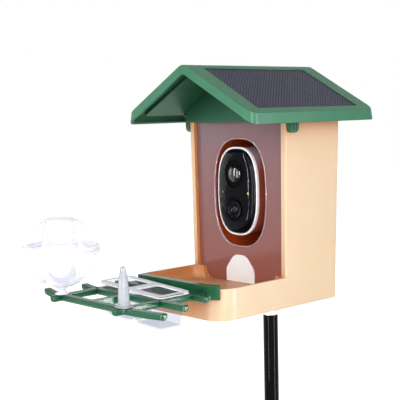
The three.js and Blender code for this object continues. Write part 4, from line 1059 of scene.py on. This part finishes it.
@dataclass
class FruitSpike:
    """Frosted spike that stands on the front right crossing.

    The neck is rows of a radius and a height above the flange. The taper's heights are shares of the way from
    the neck to the tip.
    """

    peg: Peg = field(default_factory=Peg)
    flange_radius: float = 8.0
    flange_thickness: float = 1.3
    flange_edge: float = 0.4
    neck: Rows = ((5.5, 0.1), (5.2, 0.6), (5.2, 1.6), (5.7, 2.0), (5.7, 3.0), (5.2, 3.5), (5.3, 4.5))
    taper: Rows = ((4.8, 0.4), (3.9, 0.72))
    tip_radius: float = 2.6
    tip_steps: int = 8

    def build(self) -> None:
        """Adds the spike."""
        box = NodeBox("fruit_spike")
        tip = 2 * box.half.z - self.tip_radius
        flange = self.peg.length
        disc = flange + self.flange_thickness
        inset = self.flange_radius - self.flange_edge
        start = disc + self.neck[-1][1]
        profile = self.peg.outline(0.0) + [
            (inset, flange), (self.flange_radius, flange + self.flange_edge),
            (self.flange_radius, disc - self.flange_edge), (inset, disc),
            *((radius, disc + height) for radius, height in self.neck),
            *((radius, start + share * (tip - start)) for radius, share in self.taper),
            *dome(self.tip_radius, tip, self.tip_radius, self.tip_steps),
        ]
        foot = Vector((box.middle.x, box.middle.y, box.low.z))
        add_piece("clear_spike", turned(profile, Axis.Z, foot), "fruit_spike", finishes=(SPIKE_STYRENE,))


@dataclass
class BallHolder:
    """Milky openwork ball in two halves, on the front left crossing.

    The stem is rows of a radius and a height above the lattice. Flats, which are cut off the ball's ends, and
    straights, which are the windows' upright sides, are those of the lower half and of the upper one.
    """

    peg: Peg = field(default_factory=Peg)
    radius: float = 34.5
    wall: float = 2.0
    flange_reach: float = 2.9
    flange_half_height: float = 3.8
    flange_edge: float = 0.5
    split: float = 2.1
    gap: float = 0.3
    gap_edge: float = 0.3
    flats: tuple[float, float] = (1.6, 2.2)
    stem: Rows = ((7.0, 0.0), (6.6, 0.6), (3.6, 2.2), (3.6, 4.0))
    stem_flare: float = 7.0
    stem_sink: float = 0.1
    arc_steps: int = 20
    rounding: float = 0.35
    rib: float = 5.66
    windows: int = 6
    window_start: float = 4.6
    window_segments: int = 48
    straights: tuple[float, float] = (4.2, 2.0)
    rise: float = 21.8
    level_slack: float = 0.02
    cutter_start_share: float = 0.2
    turn: float = -31.0

    def build(self) -> None:
        """Adds the two halves."""
        box = NodeBox("ball_lower")
        self.middle = Vector((box.middle.x, box.middle.y, box.high.z - self.split + self.gap / 2))
        foot = box.low.z - self.middle.z
        lattice = foot + self.peg.length
        lower, upper = self.shell(-1)[::-1], self.shell(1)
        stem = [*((radius, lattice + height) for radius, height in self.stem),
                (self.stem_flare, lower[0][1] + self.stem_sink)]
        self.add_half("ball_lower_half", "ball_lower", self.peg.outline(foot) + stem + lower, -1)
        self.add_half("ball_upper_half", "ball_upper", upper + [(0.0, upper[-1][1])], 1)

    def arc(self, radius: float, start: float, end: float) -> Outline:
        """Returns points of a sphere's outline.

        Args:
            radius: The sphere's radius.
            start: Height of the first point above the ball's middle.
            end: Height of the last point.
        """
        first, last = math.asin(start / radius), math.asin(end / radius)
        turns = [first + (last - first) * step / self.arc_steps for step in range(self.arc_steps + 1)]
        return [(radius * math.cos(turn), radius * math.sin(turn)) for turn in turns]

    def shell(self, side: int) -> Outline:
        """Returns a half's outline from the middle of its inside over its flange to the end of its outside.

        Args:
            side: 1 for the upper half and -1 for the lower one.
        """
        inside, rim = self.radius - self.wall, self.radius + self.flange_reach
        edge, flange = (self.split + side * height for height in (self.gap / 2, self.flange_half_height))
        cap = side * (self.radius - self.flats[side > 0])
        floor = cap - side * self.wall
        return [
            (0.0, floor), *self.arc(inside, floor, edge), (rim - self.gap_edge, edge),
            (rim, edge + side * self.gap_edge), (rim, flange - side * self.flange_edge),
            (rim - self.flange_edge, flange), *self.arc(self.radius, flange, cap),
        ]

    def window(self, side: int) -> Shape:
        """Makes the body that cuts one window.

        Args:
            side: 1 for the upper half and -1 for the lower one.
        """
        half = self.radius * math.sin(math.pi / self.windows - math.asin(self.rib / 2 / self.radius))
        bm = bmesh.new()
        bmesh.ops.create_circle(bm, segments=self.window_segments, radius=1.0, cap_ends=True)
        base = self.split + side * self.window_start
        spring = base + side * self.straights[side > 0]
        start = self.radius * self.cutter_start_share
        for vert in bm.verts:
            across, up = vert.co.x, vert.co.y
            aside = across * half if up > -self.level_slack else math.copysign(half, across)
            vert.co = Vector((start, aside, spring + side * self.rise * up if up > 0 else base))
        bmesh.ops.remove_doubles(bm, verts=bm.verts, dist=MERGE_DISTANCE)
        out = bmesh.ops.extrude_face_region(bm, geom=list(bm.faces))["geom"]
        moved = [item for item in out if isinstance(item, bmesh.types.BMVert)]
        bmesh.ops.translate(bm, verts=moved, vec=Vector((self.radius, 0.0, 0.0)))
        face_outward(bm)
        return bm

    def add_half(self, name: str, node: str, profile: Outline, side: int) -> None:
        """Adds one half with its windows cut.

        Args:
            name: The piece's name.
            node: The CAD node that it stands for.
            profile: Its turned profile.
            side: 1 for the upper half and -1 for the lower one.
        """
        half = turned(profile)
        for number in range(self.windows):
            tool = self.window(side)
            tool.transform(Matrix.Rotation(math.radians(self.turn + 360 * number / self.windows), 4, "Z"))
            half = cut_away(half, tool)
        soften(half, self.rounding, segments=2)
        half.transform(Matrix.Translation(self.middle))
        add_piece(name, half, node)


@dataclass
class Pole:
    """Top of the pole: the bright threaded head and the black tube."""

    rounding: float = 0.5
    wall: float = 1.1

    def build(self) -> None:
        """Adds the head and the tube."""
        box = NodeBox("pole_tube")
        tube = turned(ring(box.half.x - self.wall, box.half.x, box.low.z, box.high.z), Axis.Z,
                      Vector((0.0, box.middle.y, 0.0)))
        for name, bm, node in (("pole_black_tube", tube, "pole_tube"),
                               ("pole_bright_head", cad_copy("pole_head"), "pole_head")):
            soften(bm, self.rounding)
            add_piece(name, bm, node)


def aimed(azimuth: float, elevation: float, roll: float = 0.0) -> Matrix:
    """Returns the rotation of a camera or a lamp that looks towards the object. Angles are in degrees.

    Args:
        azimuth: The side that it stands on, from the front and to the right.
        elevation: How high it stands above the horizon.
        roll: Its turn about its own line of sight.
    """
    turns = ((azimuth, "Z"), (90 - elevation, "X"), (roll, "Z"))
    first, second, third = (Matrix.Rotation(math.radians(angle), 4, axis) for angle, axis in turns)
    return first @ second @ third


@dataclass(frozen=True)
class Softbox:
    """A rectangular lamp that faces the object.

    Angles are in degrees, as aimed takes them, and lengths in metres. A radiance of 1 is the white of the
    surroundings. A lamp that is only in the sheen shows in reflections alone, as a narrow strip does.
    """

    name: str
    azimuth: float
    elevation: float
    distance: float
    width: float
    height: float
    radiance: float
    only_in_sheen: bool = False

    def add(self, colour: tuple[float, float, float]) -> None:
        """Adds the lamp.

        Args:
            colour: Its light's red, green and blue.
        """
        lamp = bpy.data.lights.new(self.name, "AREA")
        lamp.shape = "RECTANGLE"
        lamp.size, lamp.size_y = self.width, self.height
        lamp.energy = self.radiance * math.pi * self.width * self.height
        lamp.color = colour
        holder = add_object(self.name, lamp)
        middle = Matrix.Translation((CAD_BOX[0] + CAD_BOX[1]) / 2)
        away = Matrix.Translation(Vector((0.0, 0.0, self.distance)))
        holder.matrix_world = middle @ aimed(self.azimuth, self.elevation) @ away
        holder.visible_camera = False
        holder.visible_diffuse = not self.only_in_sheen
        holder.visible_transmission = not self.only_in_sheen


@dataclass
class Studio:
    """Camera, lamps, surroundings and floor."""

    focal_length: float = 88.1
    sensor_width: float = 36.0
    nearest: float = 0.01
    place: Vector = field(default_factory=lambda: Vector((0.71992, -0.76888, 0.45418)))
    azimuth: float = 47.15
    pitch: float = 5.48
    roll: float = -1.26
    plain_level: float = 0.14
    lamp_colour: tuple[float, float, float] = (0.98, 0.985, 1.0)
    floor_radius: float = 6.0
    floor_drop: float = 0.0005
    floor_segments: int = 96
    floor_colour: str = "#ECECEC"
    lamps: tuple[Softbox, ...] = (
        Softbox("key", 45, 12, 1.6, 1.0, 0.9, 4.4),
        Softbox("side", 98, 4, 1.6, 1.0, 1.2, 3.0),
        Softbox("front", 8, 26, 1.6, 0.9, 0.9, 3.8),
        Softbox("fill", -65, 10, 1.8, 0.9, 0.9, 2.6),
        Softbox("right_strip", 64, 4, 1.3, 0.07, 2.6, 160.0, only_in_sheen=True),
        Softbox("left_strip", -27, 4, 1.3, 0.06, 2.4, 60.0, only_in_sheen=True),
        Softbox("rear_strip", 121, 4, 1.3, 0.06, 2.4, 160.0, only_in_sheen=True),
        Softbox("near_left_strip", 7, 0, 0.42, 0.022, 0.48, 70.0, only_in_sheen=True),
        Softbox("near_right_strip", 113, 0, 0.42, 0.022, 0.48, 70.0, only_in_sheen=True),
    )

    def add_camera(self) -> None:
        """Adds the camera at the photograph's viewing angle."""
        lens = bpy.data.cameras.new("camera")
        lens.lens = self.focal_length
        lens.sensor_width = self.sensor_width
        lens.clip_start = self.nearest
        camera = add_object("camera", lens)
        camera.matrix_world = Matrix.Translation(self.place) @ aimed(self.azimuth, self.pitch, self.roll)
        bpy.context.scene.camera = camera

    def add_surroundings(self) -> None:
        """Sets a world that is white to the eye, in mirrors and through glass, and dimmer as a light."""
        world = bpy.data.worlds.new("surroundings")
        nodes = Nodes(world)
        level = nodes.add("MapRange", {"Value": self.seen_rays(nodes), "To Min": self.plain_level})
        white = {"Color": (1.0, 1.0, 1.0, 1.0), "Strength": level.outputs["Result"]}
        background = nodes.add("Background", white)
        nodes.add("OutputWorld", {"Surface": background.outputs[0]})
        bpy.context.scene.world = world

    @staticmethod
    def seen_rays(nodes: Nodes) -> Socket:
        """Adds the test for rays that reach the eye directly, off a mirror or through glass.

        Args:
            nodes: The nodes that the test joins.

        Returns:
            1 for such rays and 0 for others.
        """
        rays = nodes.add("LightPath").outputs
        seen = rays["Is Camera Ray"]
        for kind in ("Is Glossy Ray", "Is Transmission Ray"):
            seen = nodes.add("Math", {0: seen, 1: rays[kind]}, operation="MAXIMUM").outputs[0]
        return seen

    def add_floor(self) -> None:
        """Adds the pale floor at the pole's foot. It looks white, and keeps the object's shadow."""
        bm = bmesh.new()
        bmesh.ops.create_circle(bm, cap_ends=True, segments=self.floor_segments, radius=self.floor_radius)
        floor = add_shape("floor", bm)
        floor.location.z = CAD_BOX[0].z - self.floor_drop
        material = bpy.data.materials.new("pale_floor")
        nodes = Nodes(material)
        plain = nodes.add("BsdfDiffuse", {"Color": srgb(self.floor_colour)})
        glow = nodes.add("Emission", {"Strength": self.seen_rays(nodes)})
        both = nodes.add("AddShader", {0: plain.outputs[0], 1: glow.outputs[0]})
        nodes.add("OutputMaterial", {"Surface": both.outputs[0]})
        floor.data.materials.append(material)

    def build(self) -> None:
        """Sets up the whole studio."""
        self.add_camera()
        self.add_surroundings()
        self.add_floor()
        for lamp in self.lamps:
            lamp.add(self.lamp_colour)
        bpy.context.scene.view_settings.view_transform = "Standard"


def dress_nodes() -> None:
    """Gives every CAD node the finish of its slot."""
    for name, node in frame["nodes"].items():
        finish = SLOT_FINISHES[NODE_SLOTS[name]]
        for holder in node.material_slots:
            holder.material = finish.material()
        LOG.info("%s wears %s", name, finish.name)


def main() -> None:
    """Builds the scene in order."""
    logging.basicConfig(level=logging.INFO, format="%(message)s")
    Studio().build()
    dress_nodes()
    Mouldings().build()
    panel = FrontPanel()
    panel.build()
    Tunnel().build(panel)
    Camera().build()
    TwinCup().build()
    FruitSpike().build()
    BallHolder().build()
    Pole().build()


if __name__ == "__main__":
    main()
